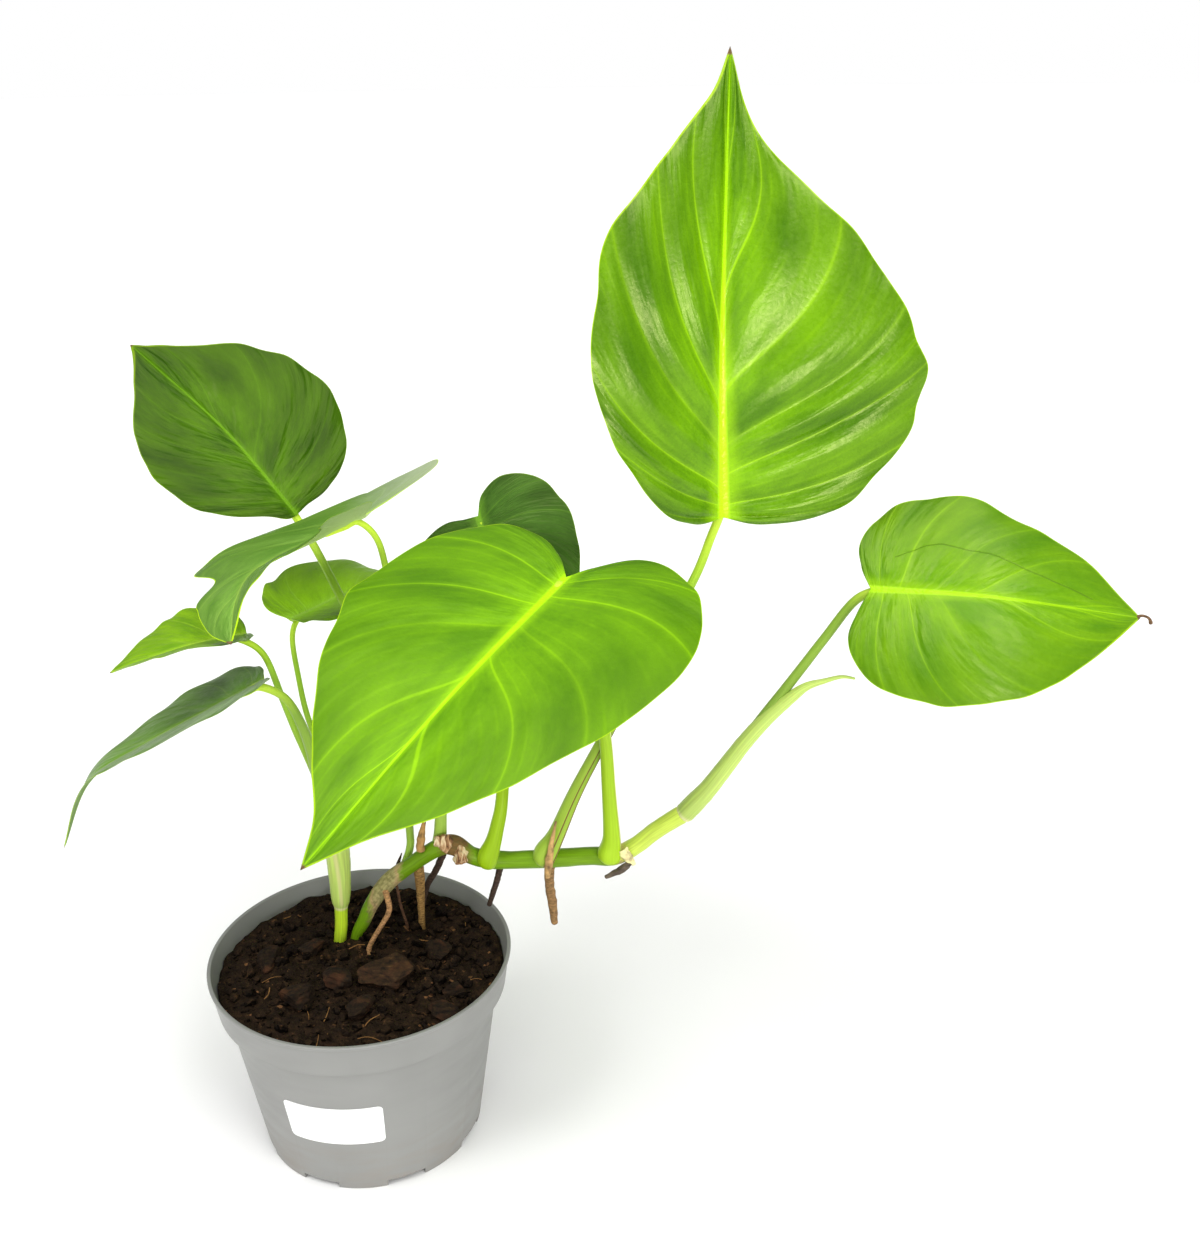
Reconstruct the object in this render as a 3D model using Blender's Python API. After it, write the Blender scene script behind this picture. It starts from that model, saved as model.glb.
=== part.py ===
"""Potted monstera: a young climbing plant that trails out of a round nursery pot.

Every length in this file is in millimetres and becomes metres in new_object. The pot's axis
is the Z axis and its foot stands on z = 0. X runs to the right and Y away from whoever reads
the label. A leaf blade is a sheet on a curved midrib: x runs along the midrib from the stalk
to the tip, y runs across it, and positive y is the blade's left half.
"""

import math
from dataclasses import dataclass

import bmesh
import bpy
import numpy as np
from mathutils import Matrix, Vector, noise

MM = 0.001
GAP = 0.3
MERGE = 0.01
SHARP_DEGREES = 40

# Pot: a thin moulded shell with a collar, a lip and a notched foot ring.
POT_HEIGHT = 81.0
RIM_RADIUS = 60.0
COLLAR_HEIGHT = 14.65
COLLAR_RADIUS = 57.4
BODY_TOP_RADIUS = 54.2
FOOT_RADIUS = 44.2
POT_WALL = 1.4
FLOOR_UNDERSIDE = 3.4
FLOOR_TOP = 5.0
FLOOR_CORNER = 1.2
CENTRE_PAD_RADIUS = 12.0
FOOT_RING_WIDTH = 4.0
LIP_HEIGHT = 1.6
LIP_WIDTH = 1.5
ROUNDING = 0.5
POT_SEGMENTS = 64
NOTCHES = 8
NOTCH_HEIGHT = 3.0
NOTCH_DEGREES = 20.0
FIRST_NOTCH_AZIMUTH = -20.5
DRAIN_HOLES = 6
DRAIN_HOLE_RADIUS = 4.0
DRAIN_CIRCLE_RADIUS = 28.0

# Label: a blank sticker wrapped round the front of the pot.
LABEL_WIDTH = 39.0
LABEL_HEIGHT = 19.2
LABEL_CORNER = 2.0
LABEL_COLUMNS = 10
LABEL_THICKNESS = 0.3
LABEL_AZIMUTH = -7.7
LABEL_MIDDLE_HEIGHT = 35.7
LABEL_TURN_DEGREES = 1.0

# Potting mix.
SOIL_TOP = 74.0
SOIL_BUMP = 1.5
SOIL_BUMP_LENGTH = 9.0
SOIL_SEGMENTS = 40
SOIL_GAP = 0.4
SOIL_RINGS = (0.88, 0.74, 0.6, 0.46, 0.32, 0.18, 0)

# Leaf blades.
BLADE_THICKNESS = 0.8
SEAT_REACH = 3.0
SEAT_GAP = 0.4
VEIN_SWEEP = 2.2

TUBE_SIDES = 10
TUBE_STEPS = 2


@dataclass
class Leaf:
    """A heart-shaped blade. Its midrib and outline are points for a smooth curve."""

    midrib: list
    across: tuple
    fold: float
    curl: float
    left: list
    right: list
    colour: str
    rows: int = 12
    columns: int = 6


LEAVES = {
    "top": Leaf(
        midrib=[(142, 5, 259), (141, 12, 323), (144, 38, 414)],
        across=((-1, -0.25, 0), (-1, -0.2, 0)),
        fold=14,
        curl=-12,
        left=[(-1, 12), (6, 24), (30, 37), (58, 47), (84, 48), (106, 43), (122, 29), (134, 18), (147, 6)],
        right=[(-3, 15), (1, 40), (18, 57), (43, 69), (65, 72), (85, 65), (105, 51), (121, 30), (138, 9)],
        colour="#4f9a2c",
        rows=16,
        columns=8,
    ),
    "right": Leaf(
        midrib=[(195, 0, 233), (235, -12, 234), (293, -2, 221)],
        across=((0.15, 0.6, 0.8), (0.1, 0.7, 0.8)),
        fold=5,
        curl=-20,
        left=[(-4, 8), (-5, 18), (4, 31), (22, 37), (47, 37), (66, 29), (82, 21), (95, 8)],
        right=[(-4, 10), (-6, 20), (1, 32), (18, 38), (40, 40), (62, 35), (80, 23), (94, 9)],
        colour="#5ea52e",
        rows=14,
    ),
    "front": Leaf(
        midrib=[(86, -5, 241), (51, -62, 224), (9, -118, 193)],
        across=((0.87, -0.5, -0.15), (0.84, -0.45, -0.25)),
        fold=8,
        curl=-12,
        left=[(-9, 7), (-19, 19), (-17, 38), (0, 54), (30, 60), (61, 54), (85, 43), (108, 29), (128, 12)],
        right=[(-9, 9), (-15, 24), (-8, 43), (13, 54), (43, 58), (72, 51), (96, 38), (117, 21), (131, 8)],
        colour="#6fbf2a",
        rows=16,
        columns=8,
    ),
    "dark": Leaf(
        midrib=[(51, 48, 247), (59, 41, 215), (66, 22, 171)],
        across=((0.98, -0.05, 0.06), (0.98, -0.1, 0.06)),
        fold=6,
        curl=4,
        left=[(-8, 4), (-13, 14), (-9, 27), (4, 35), (26, 36), (48, 29), (66, 17), (78, 6)],
        right=[(0, 5), (0, 14), (6, 24), (16, 31), (34, 33), (52, 28), (66, 17), (78, 6)],
        colour="#2f6b25",
    ),
    "high_left": Leaf(
        midrib=[(-22, 62, 244), (-54, 85, 274), (-93, 105, 304)],
        across=((-0.7, -0.65, -0.3), (-0.7, -0.5, -0.45)),
        fold=8,
        curl=-10,
        left=[(0, 4), (5, 11), (17, 27), (31, 34), (52, 35), (71, 28), (86, 14), (97, 4)],
        right=[(1, 5), (3, 18), (12, 32), (31, 43), (50, 44), (69, 34), (85, 17), (96, 6)],
        colour="#4a8a2c",
        rows=14,
    ),
    "torn": Leaf(
        midrib=[(12, 20, 257), (-6, 17, 249), (-25, 1, 243), (-28.5, -17, 238), (-28.5, -29, 227)],
        across=((-0.25, -0.95, 0.10), (0.8, -0.5, 0.1)),
        fold=11,
        curl=0,
        left=[(-4, 8), (-6, 17), (3, 24), (16, 26), (33, 23), (50, 14), (61, 7), (74, 3)],
        right=[
            (-10, 5), (-25, 17), (-31, 33), (-18, 40), (2, 34), (24, 31),
            (41, 28), (51, 28), (54, 13), (65, 15), (75, 9),
        ],
        colour="#7a9a50",
        rows=18,
    ),
    "back": Leaf(
        midrib=[(-26, 50, 204), (2, 84, 205), (28, 116, 186)],
        across=((-0.8, 0.6, 0), (-0.8, 0.6, 0)),
        fold=19,
        curl=-14,
        left=[(-3, 7), (-2, 15), (6, 24), (18, 28), (36, 29), (54, 24), (70, 14), (82, 5)],
        right=[(-3, 7), (-4, 17), (3, 27), (16, 32), (34, 33), (54, 27), (70, 16), (82, 5)],
        colour="#86a432",
    ),
    "small": Leaf(
        midrib=[(-32, 5, 217), (-47, -6, 218), (-61, -13, 216), (-75, -20, 213)],
        across=((0, -1, 0.1), (0, -1, 0.1)),
        fold=14,
        curl=0,
        left=[(-3, 7), (-3, 15), (5, 21), (16, 24), (28, 22), (38, 15), (46, 7)],
        right=[(-2, 7), (-2, 15), (5, 22), (15, 26), (27, 23), (36, 15), (45, 6)],
        colour="#8db83a",
    ),
    "low_left": Leaf(
        midrib=[(-25, -5, 203), (-46, -10, 193), (-70, -14, 181), (-91, -15, 167), (-106, -12, 137)],
        across=((0.05, -0.99, 0.2), (0.05, -0.97, 0.16)),
        fold=12,
        curl=0,
        left=[(-3, 6), (-4, 16), (4, 26), (20, 31), (42, 30), (64, 24), (82, 15), (94, 7)],
        right=[(0, 5), (1, 13), (7, 22), (20, 29), (42, 32), (64, 26), (82, 17), (95, 7)],
        colour="#3f7a2a",
        rows=14,
    ),
}

# Each station of a stem or root is (x, y, z, radius).
CREEPING_STEM = [
    (-6.5, 18, 60, 2.3), (-5.8, 18.2, 68, 2.4), (-4.5, 18.5, 76, 2.5), (-1, 18.5, 83, 2.8),
    (2.3, 19, 90, 3), (9.8, 20, 100, 3.5), (20.6, 20, 108.7, 3.2), (30.5, 20, 115.5, 3.6),
    (37, 20, 116.8, 4.2), (44.4, 20, 111.8, 3.6), (51.7, 20, 110, 3.9), (60.6, 20, 109.4, 3.6),
    (75.3, 19, 110.5, 3.8), (92.3, 18, 112, 3.7), (102.4, 17, 112.6, 3.8), (111, 16, 118, 3.5),
    (119.5, 14, 126.5, 3.5), (131, 12, 135.7, 3.7),
]
YOUNG_SHOOT = [
    (-14, 19, 60, 2.4), (-12.6, 18.8, 70, 2.6), (-11, 18.5, 80, 2.8), (-10.3, 18.5, 90, 2.8),
    (-10, 18.5, 93, 3.9), (-9.6, 18.5, 102, 4.3), (-9.2, 18.5, 113.5, 4.7),
]
SHOOT_CUP = [(-9.6, 18.5, 103, 3.9), (-9.2, 18.5, 113.5, 4.0), (-9.1, 18.5, 116, 4.1)]

STALKS = {
    "top": [
        (73, 16, 109, 3.7), (75, 16, 114, 3.8), (79, 16.5, 123, 3.4), (86.8, 17, 141.6, 2.8),
        (96, 16, 161, 2.4), (114.4, 12, 199.3, 2), (131.4, 8, 233.2, 1.7), (138, 7.5, 251, 1.6),
    ],
    "right": [
        (150, 8.5, 165, 1.8), (158.5, 7.2, 178.5, 1.9), (168, 5, 193.5, 1.9),
        (180, 4, 212, 1.8), (190, 3, 227, 1.7),
    ],
    "front": [
        (101, 14, 110.5, 3.7), (101.2, 14, 116, 3.9), (101.3, 14, 123, 3.6), (100.3, 12, 145.6, 2.9),
        (99, 9, 171, 2.5), (95.2, 4, 200.8, 2.1), (90.5, -2, 225, 1.8),
    ],
    "dark": [
        (50.5, 16.8, 107.5, 3.1), (52.2, 16.8, 114, 3.4), (55, 18, 124.7, 3), (57.5, 21, 136.7, 2.6),
        (58.6, 31, 158, 2.2), (56.5, 45, 187, 1.8), (53.5, 53, 219, 1.6),
    ],
    "high_left": [
        (16, 22, 105.5, 1.6), (18.5, 26, 112, 1.6), (18.7, 28, 120, 1.6), (17.6, 31, 150, 1.6),
        (9.5, 33, 191, 1.6), (-0.4, 34, 215, 1.6), (-15, 57, 231.5, 1.6),
    ],
    "torn": [
        (30.8, 21, 115, 3), (32.2, 22, 125, 2.5), (33.4, 24, 153.5, 1.8), (28, 25, 196.5, 1.5),
        (19.4, 24, 226, 1.3), (16, 22, 246, 1.2),
    ],
    "back": [
        (-7.5, 19.6, 103.5, 1.3), (-7.2, 20, 115, 1.3), (-8, 24, 126, 1.3), (-12.5, 31, 146, 1.3),
        (-20.4, 38, 166, 1.2),
        (-24.3, 45, 182, 1.1), (-26, 49, 196, 1.1),
    ],
    "small": [
        (-11.4, 19.7, 103.5, 1.3), (-11, 19.4, 115, 1.3), (-12, 17, 128, 1.4), (-13.4, 13, 150, 1.4),
        (-18.5, 8, 175, 1.4),
        (-22.2, 7, 190, 1.3), (-27, 6, 208, 1.2),
    ],
    "low_left": [
        (-9.6, 16.5, 103.5, 1.5), (-9.3, 16.2, 115, 1.6), (-10, 13, 127, 1.8), (-11, 5, 148, 1.9),
        (-11.6, 0, 169.9, 2),
        (-14, -3, 184.5, 1.8), (-18.5, -4, 195, 1.5),
    ],
}
SHEATH = [
    (131.2, 11.9, 136.2, 3.7), (140, 10, 148.2, 3.7), (152.5, 8, 168, 3.6), (161.2, 6, 180, 3.3),
    (168.5, 3.5, 188.5, 2.7), (174, 1.5, 194, 1.6), (180, -0.5, 197, 1), (186, -2, 199.3, 0.7),
    (191, -3, 199, 0.45),
]

ROOTS = {
    "root_dark_left": [
        (33, 21, 113, 1.5), (29, 24.5, 102.6, 1.4), (24, 30, 91.4, 1.3), (20.5, 33.5, 78, 1.1),
        (19.5, 35.5, 69, 1),
    ],
    "root_dark_right": [
        (56, 20.5, 107.5, 1.4), (54, 21.5, 99, 1.3), (52, 22, 92.5, 1.2), (50, 22.5, 85.8, 1),
    ],
    "root_hanging": [
        (76, 19.2, 108, 2.1), (75.5, 19.2, 99, 2), (76.5, 20, 88, 1.9), (77.2, 20, 78, 1.3),
    ],
    "root_tan_bent": [
        (8, 18.5, 98, 1.2), (10, 14, 95, 1.2), (10.4, 12, 91, 1.2), (7.7, 11, 86, 1.2),
        (3.7, 10, 79.6, 1.2), (1.6, 8, 75, 1.2), (3, 6, 69, 1),
    ],
    "root_thread": [
        (12.4, 22, 98.5, 0.6), (12.9, 22.5, 92, 0.6), (13.6, 24, 84, 0.6), (16, 26, 70, 0.6),
    ],
    "root_tan_thick": [
        (22, 22, 106, 1.8), (22, 24, 95.5, 1.8), (21.5, 25.5, 83, 1.8), (21, 26, 69, 1.6),
    ],
}
DRY_SHEATHS = {
    "dry_sheath_hooked": [
        (24, 17.5, 115.8, 1.2), (24.4, 17.8, 120, 1.3), (25.2, 18, 124.5, 0.9), (26.4, 18, 129, 0.4),
    ],
    "dry_sheath_spike": [
        (75, 10.8, 107, 1), (76, 10.4, 114, 1.4), (77, 11, 121, 0.9), (79.2, 11.6, 132, 0.4),
    ],
    "dry_sheath_low": [
        (108.5, 12, 112.6, 0.9), (105.6, 12.2, 109.6, 1.2), (102.5, 13, 107.2, 1), (98.5, 14, 104.5, 0.5),
    ],
}

# Bark chips on the soil: (x, y, length, width, height, turn in degrees).
BARK_CHIPS = [
    (13, -8, 25, 19, 12, 20),
    (-7, -12, 15, 11, 8, -35),
    (39, -18, 10, 6, 5, 15),
    (3, -29, 13, 9, 7, 60),
    (-21, -23, 16, 12, 8, 10),
    (36, -33, 14, 10, 7, -20),
    (-22, 9, 12, 8, 6, 40),
    (30, 6, 14, 10, 7, -50),
    (-38, 2, 15, 10, 7, 75),
]
CHIP_SINK = 0.28
CHIP_ROUGHNESS = 0.16
CHIP_LUMPS = 1.7
CHIP_BOXINESS = 0.45


def linear(hex_colour):
    """The linear RGBA value of a display colour such as #a0a09a."""
    display = [int(hex_colour[i : i + 2], 16) / 255 for i in (1, 3, 5)]
    channels = [c / 12.92 if c <= 0.04045 else ((c + 0.055) / 1.055) ** 2.4 for c in display]
    return (*channels, 1.0)


def new_material(name, hex_colour, roughness):
    material = bpy.data.materials.new(name)
    material.use_nodes = True
    shader = material.node_tree.nodes["Principled BSDF"]
    shader.inputs["Base Color"].default_value = linear(hex_colour)
    shader.inputs["Roughness"].default_value = roughness
    shader.inputs["Metallic"].default_value = 0.0
    return material


def new_object(name, shape, material=None):
    """Turn a bmesh in millimetres into a smooth-shaded object in metres."""
    bmesh.ops.recalc_face_normals(shape, faces=shape.faces)
    bmesh.ops.scale(shape, vec=Vector((MM, MM, MM)), verts=shape.verts)
    mesh = bpy.data.meshes.new(name)
    shape.to_mesh(mesh)
    shape.free()
    mesh.shade_smooth()
    mesh.set_sharp_from_angle(angle=math.radians(SHARP_DEGREES))
    obj = bpy.data.objects.new(name, mesh)
    bpy.context.scene.collection.objects.link(obj)
    if material:
        mesh.materials.append(material)
    return obj


def new_cutter(name, shape):
    """A helper that is only there to be subtracted from other objects."""
    cutter = new_object(name, shape)
    cutter.hide_render = True
    cutter.display_type = "WIRE"
    return cutter


def cut(obj, *cutters):
    for cutter in cutters:
        modifier = obj.modifiers.new("cut " + cutter.name, "BOOLEAN")
        modifier.operation = "DIFFERENCE"
        modifier.solver = "EXACT"
        modifier.object = cutter


def spline(points, t):
    """Point of the smooth Catmull-Rom curve through the points, for t from 0 to 1."""
    points = np.asarray(points, float)
    spans = len(points) - 1
    i = min(int(t * spans), spans - 1)
    f = t * spans - i
    start, end = points[i], points[i + 1]
    before = points[i - 1] if i > 0 else 2 * start - end
    after = points[i + 2] if i < spans - 1 else 2 * end - start
    linear_term = (end - before) * f
    square_term = (2 * before - 5 * start + 4 * end - after) * f**2
    cube_term = (3 * start - before - 3 * end + after) * f**3
    return 0.5 * (2 * start + linear_term + square_term + cube_term)


def unit(vector):
    return vector / np.linalg.norm(vector)


def sampled(stations):
    """Stations along a stem's smooth curve, TUBE_STEPS to a span."""
    count = (len(stations) - 1) * TUBE_STEPS
    return [spline(stations, i / count) for i in range(count + 1)]


def ring_frames(stations):
    """A matrix for each station that carries a unit circle to its ring, without twist."""
    centres = [Vector(station[:3]) for station in stations]
    last = len(centres) - 1
    tangents = [(centres[min(i + 1, last)] - centres[max(i - 1, 0)]).normalized() for i in range(last + 1)]
    turn = Vector((0, 0, 1)).rotation_difference(tangents[0])
    frames = []
    for i, station in enumerate(stations):
        if i:
            turn = tangents[i - 1].rotation_difference(tangents[i]) @ turn
        size = Matrix.Diagonal((station[3], station[3], station[3], 1))
        frames.append(Matrix.Translation(centres[i]) @ turn.to_matrix().to_4x4() @ size)
    return frames


def tube(stations, sides=TUBE_SIDES, grow=0.0):
    """A closed round stem through the stations; grow makes it fatter and longer at both ends."""
    rings = sampled(stations)
    for ring in rings:
        ring[3] += grow
    if grow:
        rings[0][:3] -= grow * unit(rings[1][:3] - rings[0][:3])
        rings[-1][:3] += grow * unit(rings[-1][:3] - rings[-2][:3])
    frames = ring_frames(rings)
    shape = bmesh.new()
    bmesh.ops.create_circle(shape, cap_ends=True, segments=sides, radius=1, matrix=frames[0])
    ring = list(shape.edges)
    for before, after in zip(frames, frames[1:]):
        grown = bmesh.ops.extrude_edge_only(shape, edges=ring)["geom"]
        ring = [item for item in grown if isinstance(item, bmesh.types.BMEdge)]
        verts = [item for item in grown if isinstance(item, bmesh.types.BMVert)]
        bmesh.ops.transform(shape, matrix=after @ before.inverted(), verts=verts)
    bmesh.ops.contextual_create(shape, geom=ring)
    return shape


def turned(profile, segments):
    """A shape turned round the Z axis from (radius, height) points that start and end on the axis."""
    shape = bmesh.new()
    points = [shape.verts.new((radius, 0, height)) for radius, height in profile]
    edges = [shape.edges.new(pair) for pair in zip(points, points[1:])]
    bmesh.ops.spin(
        shape,
        geom=points + edges,
        cent=(0, 0, 0),
        axis=(0, 0, 1),
        angle=math.tau,
        steps=segments,
        use_merge=True,
    )
    bmesh.ops.remove_doubles(shape, verts=shape.verts, dist=MERGE)
    return shape


def around(azimuth_degrees, radius, height):
    """A point round the pot, whose azimuth runs from the front (-Y) towards +X."""
    angle = math.radians(azimuth_degrees)
    return Vector((radius * math.sin(angle), -radius * math.cos(angle), height))


def body_radius(height):
    """Outer radius of the pot's tapered body below the collar."""
    body_top = POT_HEIGHT - COLLAR_HEIGHT
    return FOOT_RADIUS + (BODY_TOP_RADIUS - FOOT_RADIUS) * height / body_top


def build_pot():
    body_top = POT_HEIGHT - COLLAR_HEIGHT
    inner_step = body_top + POT_WALL
    foot_inside = FOOT_RADIUS - FOOT_RING_WIDTH
    floor_radius = body_radius(FLOOR_TOP) - POT_WALL
    profile = [
        (0, 0),
        (CENTRE_PAD_RADIUS, 0),
        (CENTRE_PAD_RADIUS + 1, FLOOR_UNDERSIDE),
        (foot_inside - ROUNDING, FLOOR_UNDERSIDE),
        (foot_inside, 0),
        (FOOT_RADIUS - ROUNDING, 0),
        (FOOT_RADIUS, ROUNDING),
        (BODY_TOP_RADIUS, body_top),
        (COLLAR_RADIUS, body_top),
        (RIM_RADIUS - ROUNDING, POT_HEIGHT - LIP_HEIGHT),
        (RIM_RADIUS, POT_HEIGHT - LIP_HEIGHT + ROUNDING),
        (RIM_RADIUS, POT_HEIGHT - ROUNDING),
        (RIM_RADIUS - ROUNDING, POT_HEIGHT),
        (RIM_RADIUS - LIP_WIDTH + ROUNDING, POT_HEIGHT),
        (RIM_RADIUS - LIP_WIDTH, POT_HEIGHT - ROUNDING),
        (COLLAR_RADIUS - POT_WALL, inner_step),
        (BODY_TOP_RADIUS - POT_WALL, inner_step - ROUNDING),
        (floor_radius, FLOOR_TOP + FLOOR_CORNER),
        (floor_radius - FLOOR_CORNER, FLOOR_TOP),
        (0, FLOOR_TOP),
    ]
    pot = new_object("pot", turned(profile, POT_SEGMENTS), new_material("pot grey plastic", "#a5a5a0", 0.5))
    cut(pot, *foot_notches(), *drain_holes())
    return pot


def foot_notches():
    """Blocks through the foot ring that let water run out from under the pot."""
    width = 2 * FOOT_RADIUS * math.sin(math.radians(NOTCH_DEGREES / 2))
    cutters = []
    for i in range(NOTCHES):
        azimuth = FIRST_NOTCH_AZIMUTH + i * 360 / NOTCHES
        shape = bmesh.new()
        place = Matrix.Translation(around(azimuth, FOOT_RADIUS, 0)) @ Matrix.Rotation(
            math.radians(azimuth), 4, "Z"
        )
        size = Matrix.Diagonal((width, 4 * FOOT_RING_WIDTH, 2 * NOTCH_HEIGHT, 1))
        bmesh.ops.create_cube(shape, size=1, matrix=place @ size)
        cutters.append(new_cutter(f"foot_notch_{i + 1}", shape))
    return cutters


def drain_holes():
    cutters = []
    for i in range(DRAIN_HOLES):
        shape = bmesh.new()
        middle = around(i * 360 / DRAIN_HOLES, DRAIN_CIRCLE_RADIUS, FLOOR_TOP)
        bmesh.ops.create_cone(
            shape,
            cap_ends=True,
            segments=20,
            radius1=DRAIN_HOLE_RADIUS,
            radius2=DRAIN_HOLE_RADIUS,
            depth=2 * FLOOR_TOP,
            matrix=Matrix.Translation(middle),
        )
        cutters.append(new_cutter(f"drain_hole_{i + 1}", shape))
    return cutters


def label_point(x, z, lift):
    """A point x along and z up the label, wrapped round the tapered body lift above its face."""
    turn = math.radians(LABEL_TURN_DEGREES)
    height = LABEL_MIDDLE_HEIGHT + x * math.sin(turn) + z * math.cos(turn)
    radius = body_radius(height) + lift
    middle_radius = body_radius(LABEL_MIDDLE_HEIGHT)
    swing = (x * math.cos(turn) - z * math.sin(turn)) / middle_radius
    return around(LABEL_AZIMUTH + math.degrees(swing), radius, height)


def build_label():
    """Columns across the label; the end columns are shorter, which rounds the corners."""
    corner = [LABEL_CORNER * (1 - math.cos(math.radians(a))) for a in (0, 30, 60, 90)]
    flat = LABEL_WIDTH - 2 * LABEL_CORNER
    steps = LABEL_COLUMNS
    distances = corner + [LABEL_CORNER + flat * i / steps for i in range(1, steps)]
    distances += [LABEL_WIDTH - d for d in reversed(corner)]
    shape = bmesh.new()
    columns = []
    for distance in distances:
        reach = max(LABEL_CORNER - min(distance, LABEL_WIDTH - distance), 0)
        half = LABEL_HEIGHT / 2 - LABEL_CORNER + math.sqrt(LABEL_CORNER**2 - reach**2)
        x = distance - LABEL_WIDTH / 2
        near = GAP
        far = GAP + LABEL_THICKNESS
        corners = [(-half, near), (half, near), (half, far), (-half, far)]
        columns.append([shape.verts.new(label_point(x, z, lift)) for z, lift in corners])
    for first, second in zip(columns, columns[1:]):
        for i in range(4):
            j = (i + 1) % 4
            shape.faces.new((first[i], first[j], second[j], second[i]))
    shape.faces.new(columns[0])
    shape.faces.new(columns[-1])
    return new_object("label", shape, new_material("label white paper", "#fafafa", 0.6))


def chip_shape(chip, grow=0.0):
    """A rounded, lumpy piece of bark, sunk a little into the soil."""
    x, y, length, width, height, turn = chip
    shape = bmesh.new()
    bmesh.ops.create_icosphere(shape, subdivisions=2, radius=1)
    for vert in shape.verts:
        lump = 1 + CHIP_ROUGHNESS * noise.noise(CHIP_LUMPS * vert.co + Vector((x, y, 0)))
        vert.co *= lump / max(abs(c) for c in vert.co) ** CHIP_BOXINESS
    half = Vector((length / 2 + grow, width / 2 + grow, height / 2 + grow))
    bmesh.ops.scale(shape, vec=half, verts=shape.verts)
    rise = SOIL_TOP + height / 2 - height * CHIP_SINK
    place = Matrix.Translation((x, y, rise)) @ Matrix.Rotation(math.radians(turn), 4, "Z")
    bmesh.ops.transform(shape, matrix=place, verts=shape.verts)
    return shape


def build_bark():
    material = new_material("bark chip brown", "#4a3224", 0.9)
    cutters = []
    for i, chip in enumerate(BARK_CHIPS, start=1):
        new_object(f"bark_chip_{i}", chip_shape(chip), material)
        cutters.append(new_cutter(f"bark_hollow_{i}", chip_shape(chip, grow=GAP)))
    return cutters


def soil_profile():
    """Up the inside of the pot from the floor, then in across the top."""
    step = POT_HEIGHT - COLLAR_HEIGHT + POT_WALL
    slope = (RIM_RADIUS - COLLAR_RADIUS) / COLLAR_HEIGHT
    floor_radius = body_radius(FLOOR_TOP) - POT_WALL - SOIL_GAP
    shoulder = BODY_TOP_RADIUS - POT_WALL - SOIL_GAP
    collar_inside = COLLAR_RADIUS - POT_WALL - SOIL_GAP
    edge = collar_inside + slope * (SOIL_TOP - step) - ROUNDING
    wall = [
        (0, FLOOR_TOP + GAP),
        (floor_radius - FLOOR_CORNER, FLOOR_TOP + GAP),
        (floor_radius, FLOOR_TOP + FLOOR_CORNER + GAP),
        (shoulder, step - ROUNDING + GAP),
        (collar_inside, step + GAP),
        (edge, SOIL_TOP),
    ]
    top = [(edge * share, SOIL_TOP) for share in SOIL_RINGS]
    return wall + top


def build_soil(cutters):
    shape = turned(soil_profile(), SOIL_SEGMENTS)
    for vert in shape.verts:
        if vert.co.z > SOIL_TOP - GAP:
            vert.co.z += SOIL_BUMP * noise.noise(vert.co / SOIL_BUMP_LENGTH)
    soil = new_object("soil", shape, new_material("soil dark brown", "#2b211a", 0.95))
    cut(soil, *cutters)
    return soil


def midrib_length(leaf):
    points = [spline(leaf.midrib, i / 100) for i in range(101)]
    return sum(np.linalg.norm(b - a) for a, b in zip(points, points[1:]))


def blade_width(leaf):
    return 2 * max(y for x, y in leaf.left + leaf.right)


def blade_frame(leaf, x):
    """Point on the midrib with the blade's along, left and up directions there."""
    t = x / midrib_length(leaf)
    clipped = min(max(t, 0), 1)
    step = 0.001
    ahead = spline(leaf.midrib, min(clipped + step, 1))
    behind = spline(leaf.midrib, max(clipped - step, 0))
    along = unit(ahead - behind)
    point = spline(leaf.midrib, clipped) + along * min(x, 0)
    across = np.array(leaf.across[0]) * (1 - clipped) + np.array(leaf.across[1]) * clipped
    left = unit(across - along * np.dot(across, along))
    return point, along, left, np.cross(along, left)


def on_blade(leaf, x, y):
    """The point of the blade's middle surface x along and y across."""
    point, along, left, up = blade_frame(leaf, x)
    angle = math.radians(leaf.fold + leaf.curl * abs(y) / blade_width(leaf))
    return point + left * (y * math.cos(angle)) + up * (abs(y) * math.sin(angle))


def blade_shape(leaf):
    """A grid whose rows fan out from the midrib to the outline, as the side veins do."""
    length = midrib_length(leaf)
    shape = bmesh.new()
    bmesh.ops.create_grid(shape, x_segments=leaf.rows, y_segments=leaf.columns, size=1)
    for vert in shape.verts:
        s = (vert.co.x + 1) / 2
        out = abs(vert.co.y)
        side = 1 if vert.co.y > 0 else -1
        half = leaf.left if side > 0 else leaf.right
        edge_x, edge_y = spline([(0, 0), *half, (length, 0)], s)
        x = (1 - out) * length * s**VEIN_SWEEP + out * edge_x
        vert.co = on_blade(leaf, x, out * side * edge_y)
    bmesh.ops.remove_doubles(shape, verts=shape.verts, dist=MERGE)
    return shape


def build_blade(key, leaf):
    material = new_material(f"leaf green {key}", leaf.colour, 0.4)
    blade = new_object(f"blade_{key}", blade_shape(leaf), material)
    solidify = blade.modifiers.new("thickness", "SOLIDIFY")
    solidify.thickness = BLADE_THICKNESS * MM
    solidify.offset = 0.0
    return blade


def seat_under(leaf, stations):
    """Where a stalk ends: close under the midrib, a little way along it from its base."""
    point, along, left, up = blade_frame(leaf, SEAT_REACH)
    x, y, z, radius = stations[-1]
    direction = unit(point - np.array((x, y, z)))
    tilt = math.sqrt(1 - min(abs(np.dot(direction, up)), 1) ** 2)
    centre = point - up * (BLADE_THICKNESS / 2 + SEAT_GAP + radius * tilt)
    return (*centre, radius)


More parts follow.
